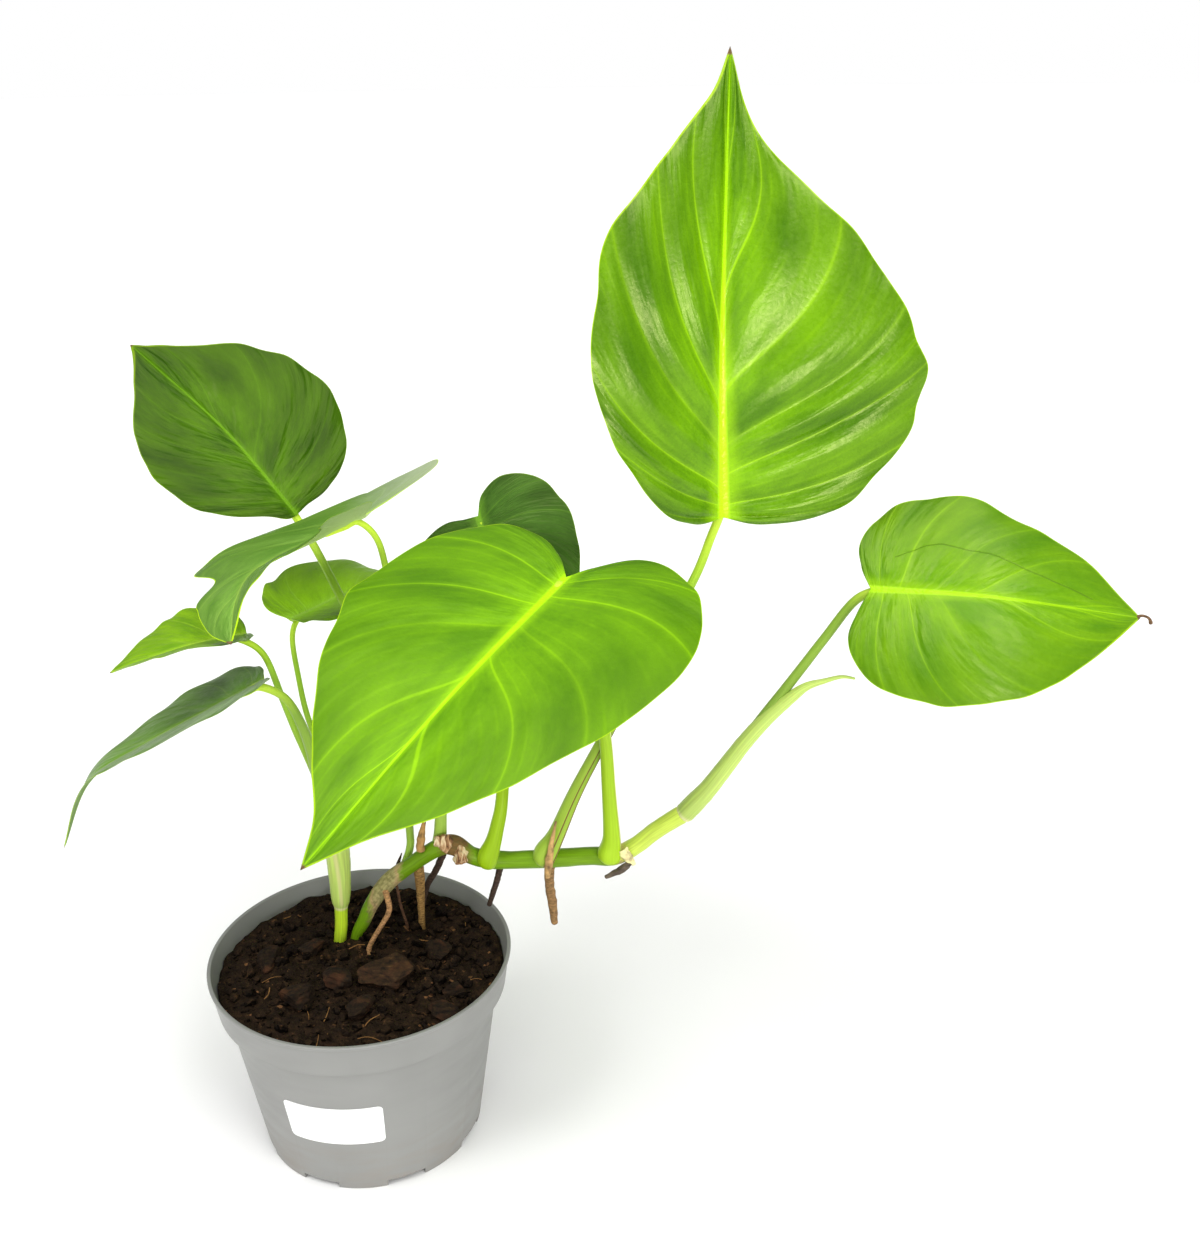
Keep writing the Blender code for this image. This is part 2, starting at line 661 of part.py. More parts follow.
def build_stems():
    """The creeping stem, the young shoot and all stalks; returns what the soil makes room for."""
    green = new_material("stem green", "#7fae3c", 0.45)
    new_object("creeping_stem", tube(CREEPING_STEM, sides=12), green)
    stem_room = new_cutter("room_creeping_stem", tube(CREEPING_STEM, sides=12, grow=GAP))
    pale = new_material("young shoot green", "#a9c66a", 0.45)
    shoot = new_object("young_shoot", tube(YOUNG_SHOOT, sides=12), pale)
    cut(shoot, new_cutter("shoot_cup", tube(SHOOT_CUP, sides=12)))
    shoot_room = new_cutter("room_young_shoot", tube(YOUNG_SHOOT, sides=12, grow=GAP))
    stalk_green = new_material("stalk green", "#8cbc46", 0.45)
    for key, stations in STALKS.items():
        path = stations + [seat_under(LEAVES[key], stations)]
        stalk = new_object(f"stalk_{key}", tube(path), stalk_green)
        if key in ("top", "front", "dark", "high_left", "torn"):
            cut(stalk, stem_room)
        if key == "right":
            stalk_room = new_cutter("room_stalk_right", tube(path, grow=GAP))
    sheath = new_object("sheath_right", tube(SHEATH), pale)
    cut(sheath, stalk_room, stem_room)
    return stem_room, shoot_room


def build_roots(stem_room):
    """The air roots that leave the creeping stem; returns room for those that enter the soil."""
    brown = new_material("root brown", "#6b4a32", 0.85)
    rooms = []
    for name, stations in ROOTS.items():
        root = new_object(name, tube(stations, sides=8), brown)
        cut(root, stem_room)
        if stations[-1][2] < SOIL_TOP:
            rooms.append(new_cutter("room_" + name, tube(stations, sides=8, grow=GAP)))
    return rooms


def build_dry_sheaths():
    tan = new_material("dry sheath tan", "#b08a58", 0.85)
    for name, stations in DRY_SHEATHS.items():
        new_object(name, tube(stations, sides=8), tan)


def clear_scene():
    for obj in list(bpy.data.objects):
        bpy.data.objects.remove(obj, do_unlink=True)


def main():
    clear_scene()
    build_pot()
    build_label()
    for key, leaf in LEAVES.items():
        build_blade(key, leaf)
    stem_room, shoot_room = build_stems()
    root_rooms = build_roots(stem_room)
    build_dry_sheaths()
    hollows = build_bark()
    build_soil([stem_room, shoot_room, *root_rooms, *hollows])


main()
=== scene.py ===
"""Potted monstera: the finished look of a young climbing plant in a round nursery pot.

Lengths are in millimetres and become metres in new_object; those in a material are in metres.
The pot's axis is the Z axis and its foot stands on z = 0. X runs to the right and Y away from
whoever reads the label. Azimuths run from the front (-Y) towards +X.
"""

import math
import random
from dataclasses import dataclass
from functools import partial

import bmesh
import bpy
import numpy as np
from bpy.props import FloatProperty, FloatVectorProperty, IntProperty, PointerProperty
from mathutils import Matrix, Vector, noise


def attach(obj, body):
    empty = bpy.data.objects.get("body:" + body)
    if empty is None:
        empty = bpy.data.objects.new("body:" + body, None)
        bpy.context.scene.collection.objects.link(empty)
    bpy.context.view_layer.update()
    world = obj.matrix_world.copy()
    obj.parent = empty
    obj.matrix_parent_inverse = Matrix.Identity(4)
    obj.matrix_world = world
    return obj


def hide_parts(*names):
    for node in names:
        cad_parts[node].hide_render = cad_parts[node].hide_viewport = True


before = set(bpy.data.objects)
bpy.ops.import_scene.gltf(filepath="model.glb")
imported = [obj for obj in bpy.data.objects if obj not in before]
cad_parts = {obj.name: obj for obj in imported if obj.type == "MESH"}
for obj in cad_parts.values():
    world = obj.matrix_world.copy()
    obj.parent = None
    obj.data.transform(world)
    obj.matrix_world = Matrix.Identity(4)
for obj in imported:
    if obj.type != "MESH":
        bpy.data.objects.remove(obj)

bl_info = {
    "name": "Potted Monstera",
    "version": (1, 0, 0),
    "blender": (4, 5, 0),
    "location": "View3D > Sidebar > Monstera",
    "description": "Builds the leaves, stems, roots, soil and pot of a young monstera on its packed frame",
    "category": "Add Mesh",
}

BODY = "root"
MM = 0.001
MERGE = 0.01
SHARP_DEGREES = 40

# Pot
POT_HEIGHT = 81.0
RIM_RADIUS = 60.0
COLLAR_HEIGHT = 14.65
COLLAR_RADIUS = 57.4
BODY_TOP = POT_HEIGHT - COLLAR_HEIGHT
BODY_TOP_RADIUS = 54.2
FOOT_RADIUS = 44.2
POT_WALL = 1.4
INNER_STEP = BODY_TOP + POT_WALL
FLOOR_UNDERSIDE = 3.4
FLOOR_TOP = 5.0
CENTRE_PAD_RADIUS = 12.0
FOOT_RING_WIDTH = 4.0
LIP_HEIGHT = 1.6
LIP_WIDTH = 1.5
POT_SEGMENTS = 160
HOOP_DEGREES = 12
NOTCHES = 8
NOTCH_HEIGHT = 3.0
NOTCH_DEGREES = 20.0
FIRST_NOTCH_AZIMUTH = -20.5
DRAIN_HOLES = 6
DRAIN_HOLE_RADIUS = 4.0
DRAIN_CIRCLE_RADIUS = 28.0

# Label
LABEL_WIDTH = 39.0
LABEL_HEIGHT = 19.2
LABEL_CORNER = 2.0
LABEL_COLUMNS = 48
LABEL_THICKNESS = 0.25
LABEL_GAP = 0.02
LABEL_AZIMUTH = -7.7
LABEL_MIDDLE_HEIGHT = 35.7
LABEL_TURN_DEGREES = 1.0

# Potting mix
SOIL_TOP = 74.0
SOIL_BUMP = 1.5
SOIL_BUMP_LENGTH = 9.0
# Clods of two sizes: (breadth, steepness, where it levels off, how far down, seed).
CLODS = ((3.4, 1.5, 0.6, 0.5, 0), (8.5, 3.2, 0.45, 1.0, 20))
GRIT = 0.5
GRIT_LENGTH = 1.3
SOIL_SEGMENTS = 144
SOIL_RINGS = 46
SOIL_GAP = 0.2
WALL_CLEARANCE = 0.4
CRUMB_BATCH = 30

# Leaves: where a stalk meets the midrib, how the side veins leave it, bend and hook, the step
# along the midrib that gives its direction, and the distance that stands for no crease
SEAT_REACH = 3.0
VEIN_SWEEP = 2.2
VEIN_CURVE = 0.1
VEIN_HOOK = 0.035
STEP = 0.001
FAR_OFF = 99

# Stage: each light is (name, azimuth, height and breadth in degrees, strength).
LIGHTS = (
    ("overhead", 10, 78, 60, 1.9),
    ("window_low", 16, 1, 22, 2.0),
    ("window_right", 38, 44, 24, 0.9),
    ("window_left", -53, 47, 24, 0.85),
    ("window_front", -18, 14, 28, 0.25),
)
FLOOR_RADIUS = 15000
AMBIENT = 0.3
CAMERA_PLACE = (0.09767, -0.46913, 0.41481)
CAMERA_DOWN_DEGREES = 22.4646
CAMERA_ROLL_DEGREES = -0.8046
CAMERA_LENS = 40.38


def linear(hex_colour):
    """The linear RGBA value of an sRGB colour such as #a0a09a."""
    display = [int(hex_colour[i : i + 2], 16) / 255 for i in (1, 3, 5)]
    channels = [c / 12.92 if c <= 0.04045 else ((c + 0.055) / 1.055) ** 2.4 for c in display]
    return (*channels, 1.0)


@dataclass
class Leaf:
    """A heart-shaped blade. Its midrib is a curve, and across is its left at the base and the tip.
    The outlines of its halves are (along, out) points. Each half rises by fold degrees, the left
    one by left_fold more, and its margin by half of curl more. veins is the number of side veins
    on a half, and swell, ripple and scallop shape the blade between them. rib_width is in
    millimetres at the base, dry_tip is a percentage of the length, and the rest are looks.
    """

    midrib: list
    across: tuple
    fold: float
    curl: float
    left: list
    right: list
    fresh: str
    deep: str
    left_fold: float = 0.0
    rib: str = "#b4ea0c"
    under: str = "#9cb86a"
    rib_width: float = 3.4
    rib_end: float = 0.3
    edge: float = 0.6
    # How strongly a painted sheen pales the base lobes
    painted_sheen: float = 0.0
    veins: float = 7.0
    swell: float = 0.7
    ripple: float = 0.7
    scallop: float = 0.008
    crinkle: float = 6.0
    crinkle_scale: float = 1.0
    crease: list = None
    rows: int = 120
    columns: int = 80
    dry_tip: float = 1.2
    vein_strength: float = 0.45
    roughness: float = 0.38
    gloss: float = 0.45


LEAVES = {
    "top": Leaf(
        midrib=[(142, 5, 259), (141, 12, 323), (144, 38, 414)],
        across=((-1, -0.25, 0), (-1, -0.2, 0)),
        fold=14, curl=-12,
        left=[(-1, 12), (6, 24), (30, 37), (58, 47), (84, 48), (106, 43), (122, 29), (134, 18), (147, 6)],
        right=[(-3, 15), (1, 40), (18, 57), (43, 69), (65, 72), (85, 65), (105, 51), (121, 30), (138, 9)],
        fresh="#6ca200", deep="#427400", rib="#b6ef0a", rib_width=4.4, veins=7.5, swell=2.4,
        roughness=0.27, gloss=0.6, vein_strength=0.32, scallop=0.014, dry_tip=1.6,
    ),
    "right": Leaf(
        midrib=[(195, 0, 233), (235, -12, 234), (293, -2, 221)],
        across=((0.15, 0.6, 0.8), (0.1, 0.7, 0.8)),
        fold=5, curl=-20,
        left=[(-4, 8), (-5, 18), (4, 31), (22, 37), (47, 37), (66, 29), (82, 21), (95, 8)],
        right=[(-4, 10), (-6, 20), (1, 32), (18, 38), (40, 40), (62, 35), (80, 23), (94, 9)],
        fresh="#6a9c00", deep="#4e8400", rib="#9cd004", rib_width=2.6,
        crease=[(9, 12), (25, 17.5), (40, 16.5), (55, 14.5), (73, 8.5), (87, 3.8)],
        veins=6.5, swell=0.9, crinkle=8.0, roughness=0.34, gloss=0.6, vein_strength=0.3,
    ),
    "front": Leaf(
        midrib=[(86, -5, 241), (51, -62, 224), (9, -118, 193)],
        across=((0.87, -0.5, -0.15), (0.84, -0.45, -0.25)),
        fold=8, curl=-12,
        left=[(-9, 7), (-19, 19), (-17, 38), (0, 54), (30, 60), (61, 54), (85, 43), (108, 29), (128, 12)],
        right=[(-9, 9), (-15, 24), (-8, 43), (13, 54), (43, 58), (72, 51), (96, 38), (117, 21), (131, 8)],
        fresh="#6ea600", deep="#518600", rib="#b2f205", rib_width=2.8, veins=7.0, swell=0.8,
        vein_strength=0.32, roughness=0.46,
    ),
    "dark": Leaf(
        midrib=[(51, 48, 247), (59, 41, 215), (66, 22, 171)],
        across=((0.98, -0.05, 0.06), (0.98, -0.1, 0.06)),
        fold=6, curl=4,
        left=[(-8, 4), (-13, 14), (-9, 27), (4, 35), (26, 36), (48, 29), (66, 17), (78, 6)],
        right=[(0, 5), (0, 14), (6, 24), (16, 31), (34, 33), (52, 28), (66, 17), (78, 6)],
        fresh="#4a7526", deep="#345a1a", rib="#78ad2c", rib_width=2.4, edge=0.25, rows=90, columns=60,
        swell=0.7, crinkle=26.0, crinkle_scale=2.6, roughness=0.36, gloss=0.35, vein_strength=0.2,
    ),
    "high_left": Leaf(
        midrib=[(-22, 62, 244), (-54, 85, 274), (-93, 105, 304)],
        across=((-0.7, -0.65, -0.3), (-0.7, -0.5, -0.45)),
        fold=8, curl=-10,
        left=[(0, 4), (5, 11), (17, 27), (31, 34), (52, 35), (71, 28), (86, 14), (97, 4)],
        right=[(1, 5), (3, 18), (12, 32), (31, 43), (50, 44), (69, 34), (85, 17), (96, 6)],
        fresh="#446e00", deep="#264c00", rib="#5e900a", rib_width=1.3, rib_end=0.6, edge=0.3, veins=8.0,
        swell=1.1, crinkle=12.0, roughness=0.34, gloss=0.3, vein_strength=0.2,
    ),
    "torn": Leaf(
        midrib=[(12, 20, 257), (-6, 17, 249), (-25, 1, 243), (-28.5, -17, 238), (-28.5, -29, 227)],
        across=((-0.25, -0.95, 0.10), (0.8, -0.5, 0.1)),
        fold=11, curl=0,
        left=[(-4, 8), (-6, 17), (3, 24), (16, 26), (33, 23), (50, 14), (61, 7), (74, 3)],
        right=[
            (-10, 5), (-25, 17), (-31, 33), (-18, 40), (2, 34), (22, 31),
            (35, 28.5), (43, 28), (46, 14), (56, 17), (66, 14.5), (75, 9),
        ],
        fresh="#6f9a3a", deep="#57842a", rib="#93b84a", under="#a5bf74", rib_width=2.0, edge=0.9,
        painted_sheen=0.65, veins=7.0, swell=0.5, ripple=0.4, dry_tip=2.0, vein_strength=0.35,
    ),
    # Painted light: the back leaf's greens and underside are brightened in place of light shining through it
    # from behind.
    "back": Leaf(
        midrib=[(-26, 50, 204), (2, 84, 205), (28, 116, 186)],
        across=((-0.8, 0.6, 0), (-0.8, 0.6, 0)),
        fold=19, curl=-14,
        left=[(-3, 7), (-2, 15), (6, 24), (18, 28), (36, 29), (54, 24), (70, 14), (82, 5)],
        right=[(-3, 7), (-4, 17), (3, 27), (16, 32), (34, 33), (54, 27), (70, 16), (82, 5)],
        fresh="#8cc010", deep="#76a808", rib="#90be3a", under="#98c424", rib_width=2.2, rows=90,
        columns=60, swell=0.4, vein_strength=0.5,
    ),
    "small": Leaf(
        midrib=[(-32, 5, 217), (-47, -6, 218), (-61, -13, 216), (-75, -20, 213)],
        across=((0, -1, 0.1), (0, -1, 0.1)),
        fold=14, left_fold=-4, curl=0,
        left=[(0, 6), (3, 13), (9, 19.5), (18, 23), (28, 21.5), (38, 15), (46, 7)],
        right=[(-2, 7), (-2, 15), (5, 22), (15, 26), (27, 23), (36, 15), (45, 6)],
        fresh="#86b60e", deep="#6a9c04", rib="#a8cf3a", under="#a0bf52", rib_width=1.8, veins=6.0,
        rows=90, columns=60, swell=0.3, ripple=0.4,
    ),
    "low_left": Leaf(
        midrib=[(-25, -5, 203), (-46, -10, 193), (-70, -14, 181), (-91, -15, 167), (-106, -12, 137)],
        across=((0.05, -0.99, 0.2), (0.05, -0.97, 0.16)),
        fold=12, left_fold=-10, curl=0,
        left=[(-3, 6), (-4, 16), (4, 26), (20, 31), (40, 27), (58, 18), (76, 10), (92, 5)],
        right=[(0, 5), (1, 13), (7, 22), (20, 29), (40, 29), (58, 21), (76, 13), (92, 6)],
        fresh="#6c9838", deep="#527a24", rib="#8fb24c", under="#7d9f58", rib_width=2.2, rows=90,
        columns=60, swell=0.4, ripple=0.4, vein_strength=0.35,
    ),
}

# Each station of a stem or root is (x, y, z, radius).
CREEPING_STEM = [
    (-6.5, 18, 60, 2.3), (-5.8, 18.2, 68, 2.4), (-4.5, 18.5, 76, 2.5), (-1, 18.5, 83, 2.8),
    (2.3, 19, 90, 3), (9.8, 20, 100, 3.5), (20.6, 20, 108.7, 3.2), (30.5, 20, 115.5, 3.6),
    (37, 20, 116.8, 4.2), (44.4, 20, 111.8, 3.6), (51.7, 20, 110, 3.9), (60.6, 20, 109.4, 3.6),
    (75.3, 19, 110.5, 3.8), (92.3, 18, 112, 3.7), (102.4, 17, 112.6, 3.8), (111, 16, 118, 3.5),
    (119.5, 14, 126.5, 3.5), (131, 12, 135.7, 3.7),
]
YOUNG_SHOOT = [
    (-14, 19, 60, 2.4), (-12.6, 18.8, 70, 2.5), (-11, 18.5, 80, 2.6), (-10.4, 18.5, 88.5, 2.7),
    (-10.2, 18.5, 91.5, 3.5), (-10, 18.5, 95, 4.0), (-9.6, 18.3, 103, 4.4), (-9.4, 18, 112, 4.8),
    (-9.4, 17.5, 119, 5.0), (-9.6, 17, 125, 5.0),
]
# The cup leans back, so that the sheath's front stands higher than its back.
SHOOT_CUP = [
    (-9.6, 18.5, 101, 3.6), (-9.4, 18.8, 111, 4.2), (-9.2, 20, 119, 5.4), (-9.2, 22, 126, 6.6),
    (-9.2, 23, 131, 7),
]
SHEATH = [
    (127.8, 12.5, 132.4, 3.4), (130.2, 12.1, 135, 4.0), (134.5, 11.2, 140.6, 4.0), (140, 10, 148.2, 3.6),
    (152.5, 8, 168, 3.1), (161.2, 6, 180, 2.8), (168.5, 3.5, 188.5, 2.3), (174, 1.5, 194, 1.6),
    (180, -0.5, 197, 1), (186, -2, 199.3, 0.7), (191, -3, 199, 0.45),
]


@dataclass
class Stalk:
    """A leaf stalk. Its sheath's two edges run up it, facing seam degrees round from +X."""

    stations: list
    low: str
    high: str = "#8ab52c"
    seam: float = 0.0
    seam_reach: float = 0.0
    seam_colour: str = "#dbe38f"
    heel: bool = False


STALKS = {
    "top": Stalk(
        [
            (73, 16, 109, 3.7), (75, 16, 114, 3.8), (79, 16.5, 123, 3.4), (86.8, 17, 141.6, 2.8),
            (96, 16, 161, 2.4), (114.4, 12, 199.3, 2), (131.4, 8, 233.2, 1.7), (138, 7.5, 251, 1.6),
        ],
        low="#94b23c", seam=-55, seam_reach=0.42, seam_colour="#6d4f28", heel=True,
    ),
    "right": Stalk(
        [
            (150, 8.5, 165, 1.8), (158.5, 7.2, 178.5, 1.9), (168, 5, 193.5, 1.9),
            (180, 4, 212, 1.8), (190, 3, 227, 1.7),
        ],
        low="#7d9c3c", high="#7d9f34",
    ),
    "front": Stalk(
        [
            (101, 14, 110.5, 3.7), (101.2, 14, 116, 3.9), (101.3, 14, 123, 3.6), (100.3, 12, 145.6, 2.9),
            (99, 9, 171, 2.5), (95.2, 4, 200.8, 2.1), (90.5, -2, 225, 1.8),
        ],
        low="#9cc022", seam=0, seam_reach=0.55, seam_colour="#e9e2a2", heel=True,
    ),
    "dark": Stalk(
        [
            (50.5, 16.8, 107.5, 3.1), (52.2, 16.8, 114, 3.4), (55, 18, 124.7, 3), (57.5, 21, 136.7, 2.6),
            (58.6, 31, 158, 2.2), (56.5, 45, 187, 1.8), (53.5, 53, 219, 1.6),
        ],
        low="#8cb010", seam=10, seam_reach=0.3, heel=True,
    ),
    "high_left": Stalk(
        [
            (16, 22, 105.5, 1.6), (18.5, 26, 112, 1.6), (18.7, 28, 120, 1.6), (17.6, 31, 150, 1.6),
            (9.5, 33, 191, 1.6), (-0.4, 34, 215, 1.6), (-15, 57, 231.5, 1.6),
        ],
        low="#8db040",
    ),
    "torn": Stalk(
        [
            (30.8, 21, 115, 3), (32.2, 22, 125, 2.5), (33.4, 24, 153.5, 1.8), (28, 25, 196.5, 1.5),
            (19.4, 24, 226, 1.3), (16, 22, 246, 1.2),
        ],
        low="#94b446", seam=20, seam_reach=0.3,
    ),
    "back": Stalk(
        [
            (-7.5, 19.6, 103.5, 1.3), (-7.2, 20, 115, 1.3), (-8, 24, 126, 1.3), (-12.5, 31, 146, 1.3),
            (-20.4, 38, 166, 1.2), (-24.3, 45, 182, 1.1), (-26, 49, 196, 1.1),
        ],
        low="#90b240",
    ),
    "small": Stalk(
        [
            (-11.4, 19.7, 103.5, 1.3), (-11, 19.4, 115, 1.3), (-12, 17, 128, 1.4), (-13.4, 13, 150, 1.4),
            (-18.5, 8, 175, 1.4), (-22.2, 7, 190, 1.3), (-27, 6, 208, 1.2),
        ],
        low="#90b240",
    ),
    "low_left": Stalk(
        [
            (-9.6, 16.5, 103.5, 1.5), (-9.3, 16.2, 115, 1.6), (-10, 13, 127, 1.8), (-11, 5, 148, 1.9),
            (-11.6, 0, 169.9, 2), (-14, -3, 184.5, 1.8), (-18.5, -4, 195, 1.5),
        ],
        low="#8cac40", high="#7fa23a",
    ),
}

DARK_ROOTS = {
    "root_dark_left": [
        (33, 21, 113, 1.5), (29, 24.5, 102.6, 1.4), (24, 30, 91.4, 1.3), (20.5, 33.5, 78, 1.1),
        (19.5, 35.5, 69, 1),
    ],
    "root_dark_right": [
        (56, 20.5, 107.5, 1.4), (54, 21.5, 99, 1.3), (52, 22, 92.5, 1.2), (50, 22.5, 85.8, 1),
    ],
}
TAN_ROOTS = {
    "root_hanging": [
        (76, 19.2, 108, 2.1), (75.5, 19.2, 99, 2), (76.5, 20, 88, 1.9), (77.2, 20, 78, 1.3),
    ],
    "root_tan_bent": [
        (8, 18.5, 98, 1.3), (10, 14, 95, 1.2), (10.4, 12, 91, 1.1), (7.7, 11, 86, 1.0),
        (3.7, 10, 79.6, 1.0), (1.6, 8, 75, 1.0), (3, 6, 69, 0.9),
    ],
    "root_thread": [
        (12.4, 22, 98.5, 0.6), (12.9, 22.5, 92, 0.6), (13.6, 24, 84, 0.6), (16, 26, 70, 0.6),
    ],
    "root_tan_thick": [
        (22, 22, 106, 2.4), (22, 24, 98, 2.1), (21.5, 25.5, 84, 1.5), (21, 26, 69, 1.4),
    ],
}
# The right leaf's tip has dried into a short bent thread.
LEAF_THREAD = [
    (291.3, -2, 221.5, 0.55), (293.6, -2, 221.9, 0.5), (296, -2.2, 220.9, 0.5), (297, -2.4, 218.6, 0.85),
]
# A stump of a dead root on the back of the stem
ROOT_STUMP = [(12.6, 22, 102.5, 1.0), (13.6, 23.4, 106, 0.8), (15.4, 24, 111, 0.2)]
STRIP_STEPS = 24
# A scrap of membrane beside the front leaf's foot
MEMBRANE = [(105.2, 12.4, 118.5, 1.5), (107.2, 12, 115.2, 1.6), (110, 12, 111.5, 0.5)]
DRY_SHEATHS = {
    "dry_sheath_hooked": [
        (24, 17.5, 115.8, 1.2), (24.4, 17.8, 120, 1.3), (25.2, 18, 124.5, 0.9), (26.4, 18, 129, 0.4),
    ],
    "dry_sheath_spike": [
        (75, 10.8, 107, 1), (76, 10.4, 114, 1.4), (77, 11, 121, 0.9), (79.2, 11.6, 132, 0.4),
    ],
    "dry_sheath_low": [
        (108.5, 12, 112.6, 0.9), (105.6, 12.2, 109.6, 1.2), (102.5, 13, 107.2, 1), (98.5, 14, 104.5, 0.5),
    ],
}
ROOT_COLOURS = {
    "root_hanging": "#866741",
    "root_tan_bent": "#a67c52",
    "root_thread": "#5a3f2c",
    "root_tan_thick": "#93713f",
}
FLAKE_COLOURS = ("#a07a48", "#b8935e", "#5d5145")
# Woody scars on the stem's old node: (x, y, z) and half sizes.
NODE_KNOBS = [((33.6, 17.6, 119.5), (4.2, 3.4, 4.4)), ((40.6, 16.6, 114.2), (3.8, 3.2, 4.0))]
KNOB_SEED = 3

# Bark chips on the soil: (x, y, length, width, height, turn in degrees).
BARK_CHIPS = [
    (13, -8, 25, 19, 12, 20),
    (-7, -12, 15, 11, 8, -35),
    (39, -18, 10, 6, 5, 15),
    (3, -29, 13, 9, 7, 60),
    (-21, -23, 16, 12, 8, 10),
    (36, -33, 14, 10, 7, -20),
    (-22, 9, 12, 8, 6, 40),
    (30, 6, 14, 10, 7, -50),
    (-38, 2, 15, 10, 7, 75),
]
CHIP_SINK = 0.28


def length_setting(name, description, millimetres):
    """A length that the panel shows, with its default in millimetres."""
    return FloatProperty(
        name=name, description=description, default=millimetres * MM, min=0, unit="LENGTH", subtype="DISTANCE"
    )


def colour_setting(name, description, hex_colour):
    """A colour that the panel shows, with its default as sRGB."""
    return FloatVectorProperty(
        name=name, description=description, default=linear(hex_colour), size=4, min=0, max=1, subtype="COLOR"
    )


class PotSettings(bpy.types.PropertyGroup):
    """Nursery pot and its label"""

    edge_radius: length_setting("Edge radius", "Rounding of the moulded pot's edges", 0.45)
    plastic: colour_setting("Plastic", "Colour of the pot", "#888885")
    paper: colour_setting("Label paper", "Colour of the blank label", "#fbfbfa")


class SoilSettings(bpy.types.PropertyGroup):
    """Potting mix and what lies on it"""

    crumbs: IntProperty(name="Crumbs", description="Number of loose crumbs on the mix", default=1200, min=0)
    fibres: IntProperty(name="Fibres", description="Number of coir fibres on the mix", default=16, min=0)
    seed: IntProperty(name="Seed", description="Start of the random arrangement", default=7)
    mix: colour_setting("Potting mix", "Colour of the moist mix", "#22170e")
    bark: colour_setting("Bark", "Colour of the bark chips", "#302012")
    fibre: colour_setting("Fibre", "Colour of the coir fibres", "#8a6238")


class LeafSettings(bpy.types.PropertyGroup):
    """Leaf blades"""

    thickness: length_setting("Thickness", "Thickness of a blade between its veins", 0.45)
    margin_width: length_setting("Margin", "Width of the pale edge round a blade", 0.3)
    margin: colour_setting("Margin colour", "Colour of the pale edge", "#b2da10")
    dry: colour_setting("Dry tip", "Colour of a dried leaf tip", "#6b5138")


class StemSettings(bpy.types.PropertyGroup):
    """Stems, stalks and roots"""

    green: colour_setting("Stem green", "Colour of the creeping stem's internodes", "#6a9210")
    tender: colour_setting("Tender green", "Colour of the stem's youngest internode", "#c9de58")
    cork: colour_setting("Cork", "Colour of the creeping stem's corky part", "#a39a66")
    sheath: colour_setting("Sheath", "Colour of the green sheaths", "#bcd468")
    dark_root: colour_setting("Dark root", "Colour of the dark air roots", "#3f3026")


class PlantSettings(bpy.types.PropertyGroup):
    """Everything about the potted monstera"""

    pot: PointerProperty(type=PotSettings, name="Pot", description="Pot and label")
    soil: PointerProperty(type=SoilSettings, name="Soil", description="Potting mix, crumbs, fibres and bark")
    leaf: PointerProperty(type=LeafSettings, name="Leaf", description="Leaf blades")
    stem: PointerProperty(type=StemSettings, name="Stem", description="Stems, stalks and roots")


# Shapes


def new_object(name, shape, material, sharp=SHARP_DEGREES):
    """Turn a closed bmesh in millimetres into a smooth-shaded object in metres."""
    bmesh.ops.recalc_face_normals(shape, faces=shape.faces)
    bmesh.ops.scale(shape, vec=Vector((MM, MM, MM)), verts=shape.verts)
    mesh = bpy.data.meshes.new(name)
    shape.to_mesh(mesh)
    shape.free()
    mesh.shade_smooth()
    mesh.set_sharp_from_angle(angle=math.radians(sharp))
    if material:
        mesh.materials.append(material)
    obj = bpy.data.objects.new(name, mesh)
    bpy.context.scene.collection.objects.link(obj)
    return obj


def plant(piece, slot, *nodes):
    """Fix a finished piece to the frame's one body, in place of the nodes that it stands for."""
    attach(piece, BODY)
    if nodes:
        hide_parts(*nodes)


def carve(obj, cutters):
    """Subtract the cutters from the object and throw them away."""
    for cutter in cutters:
        modifier = obj.modifiers.new(cutter.name, "BOOLEAN")
        modifier.operation = "DIFFERENCE"
        modifier.solver = "EXACT"
        modifier.object = cutter
    finished = obj.evaluated_get(bpy.context.evaluated_depsgraph_get())
    carved = bpy.data.meshes.new_from_object(finished)
    obj.modifiers.clear()
    obj.data = carved
    obj.data.set_sharp_from_angle(angle=math.radians(SHARP_DEGREES))
    for cutter in cutters:
        bpy.data.objects.remove(cutter)


def spline(points, t):
    """Points of the smooth Catmull-Rom curve through the points, for values of t from 0 to 1."""
    points = np.asarray(points, float)
    padded = np.vstack((2 * points[0] - points[1], points, 2 * points[-1] - points[-2]))
    t = np.asarray(t, float)
    spans = len(points) - 1
    i = np.minimum((t * spans).astype(int), spans - 1)
    part = (t * spans - i)[..., None]
    before, start, end, after = (padded[i + k] for k in range(4))
    linear_term = (end - before) * part
    square_term = (2 * before - 5 * start + 4 * end - after) * part**2
    cube_term = (3 * start - before - 3 * end + after) * part**3
    return 0.5 * (2 * start + linear_term + square_term + cube_term)


def unit(vectors):
    """The vectors at length 1."""
    return vectors / np.linalg.norm(vectors, axis=-1, keepdims=True)


def around(azimuth_degrees, radius, height):
    """A point round the pot, whose azimuth runs from the front (-Y) towards +X."""
    angle = math.radians(azimuth_degrees)
    return Vector((radius * math.sin(angle), -radius * math.cos(angle), height))


def body_radius(height):
    """Outer radius of the pot's tapered body below the collar."""
    return FOOT_RADIUS + (BODY_TOP_RADIUS - FOOT_RADIUS) * height / BODY_TOP


def turned(profile, segments):
    """A shape turned round the Z axis from (radius, height) points that start and end on the axis."""
    shape = bmesh.new()
    points = [shape.verts.new((radius, 0, height)) for radius, height in profile]
    edges = [shape.edges.new(pair) for pair in zip(points, points[1:])]
    outline = points + edges
    bmesh.ops.spin(shape, geom=outline, axis=(0, 0, 1), angle=math.tau, steps=segments, use_merge=True)
    bmesh.ops.remove_doubles(shape, verts=shape.verts, dist=MERGE)
    return shape


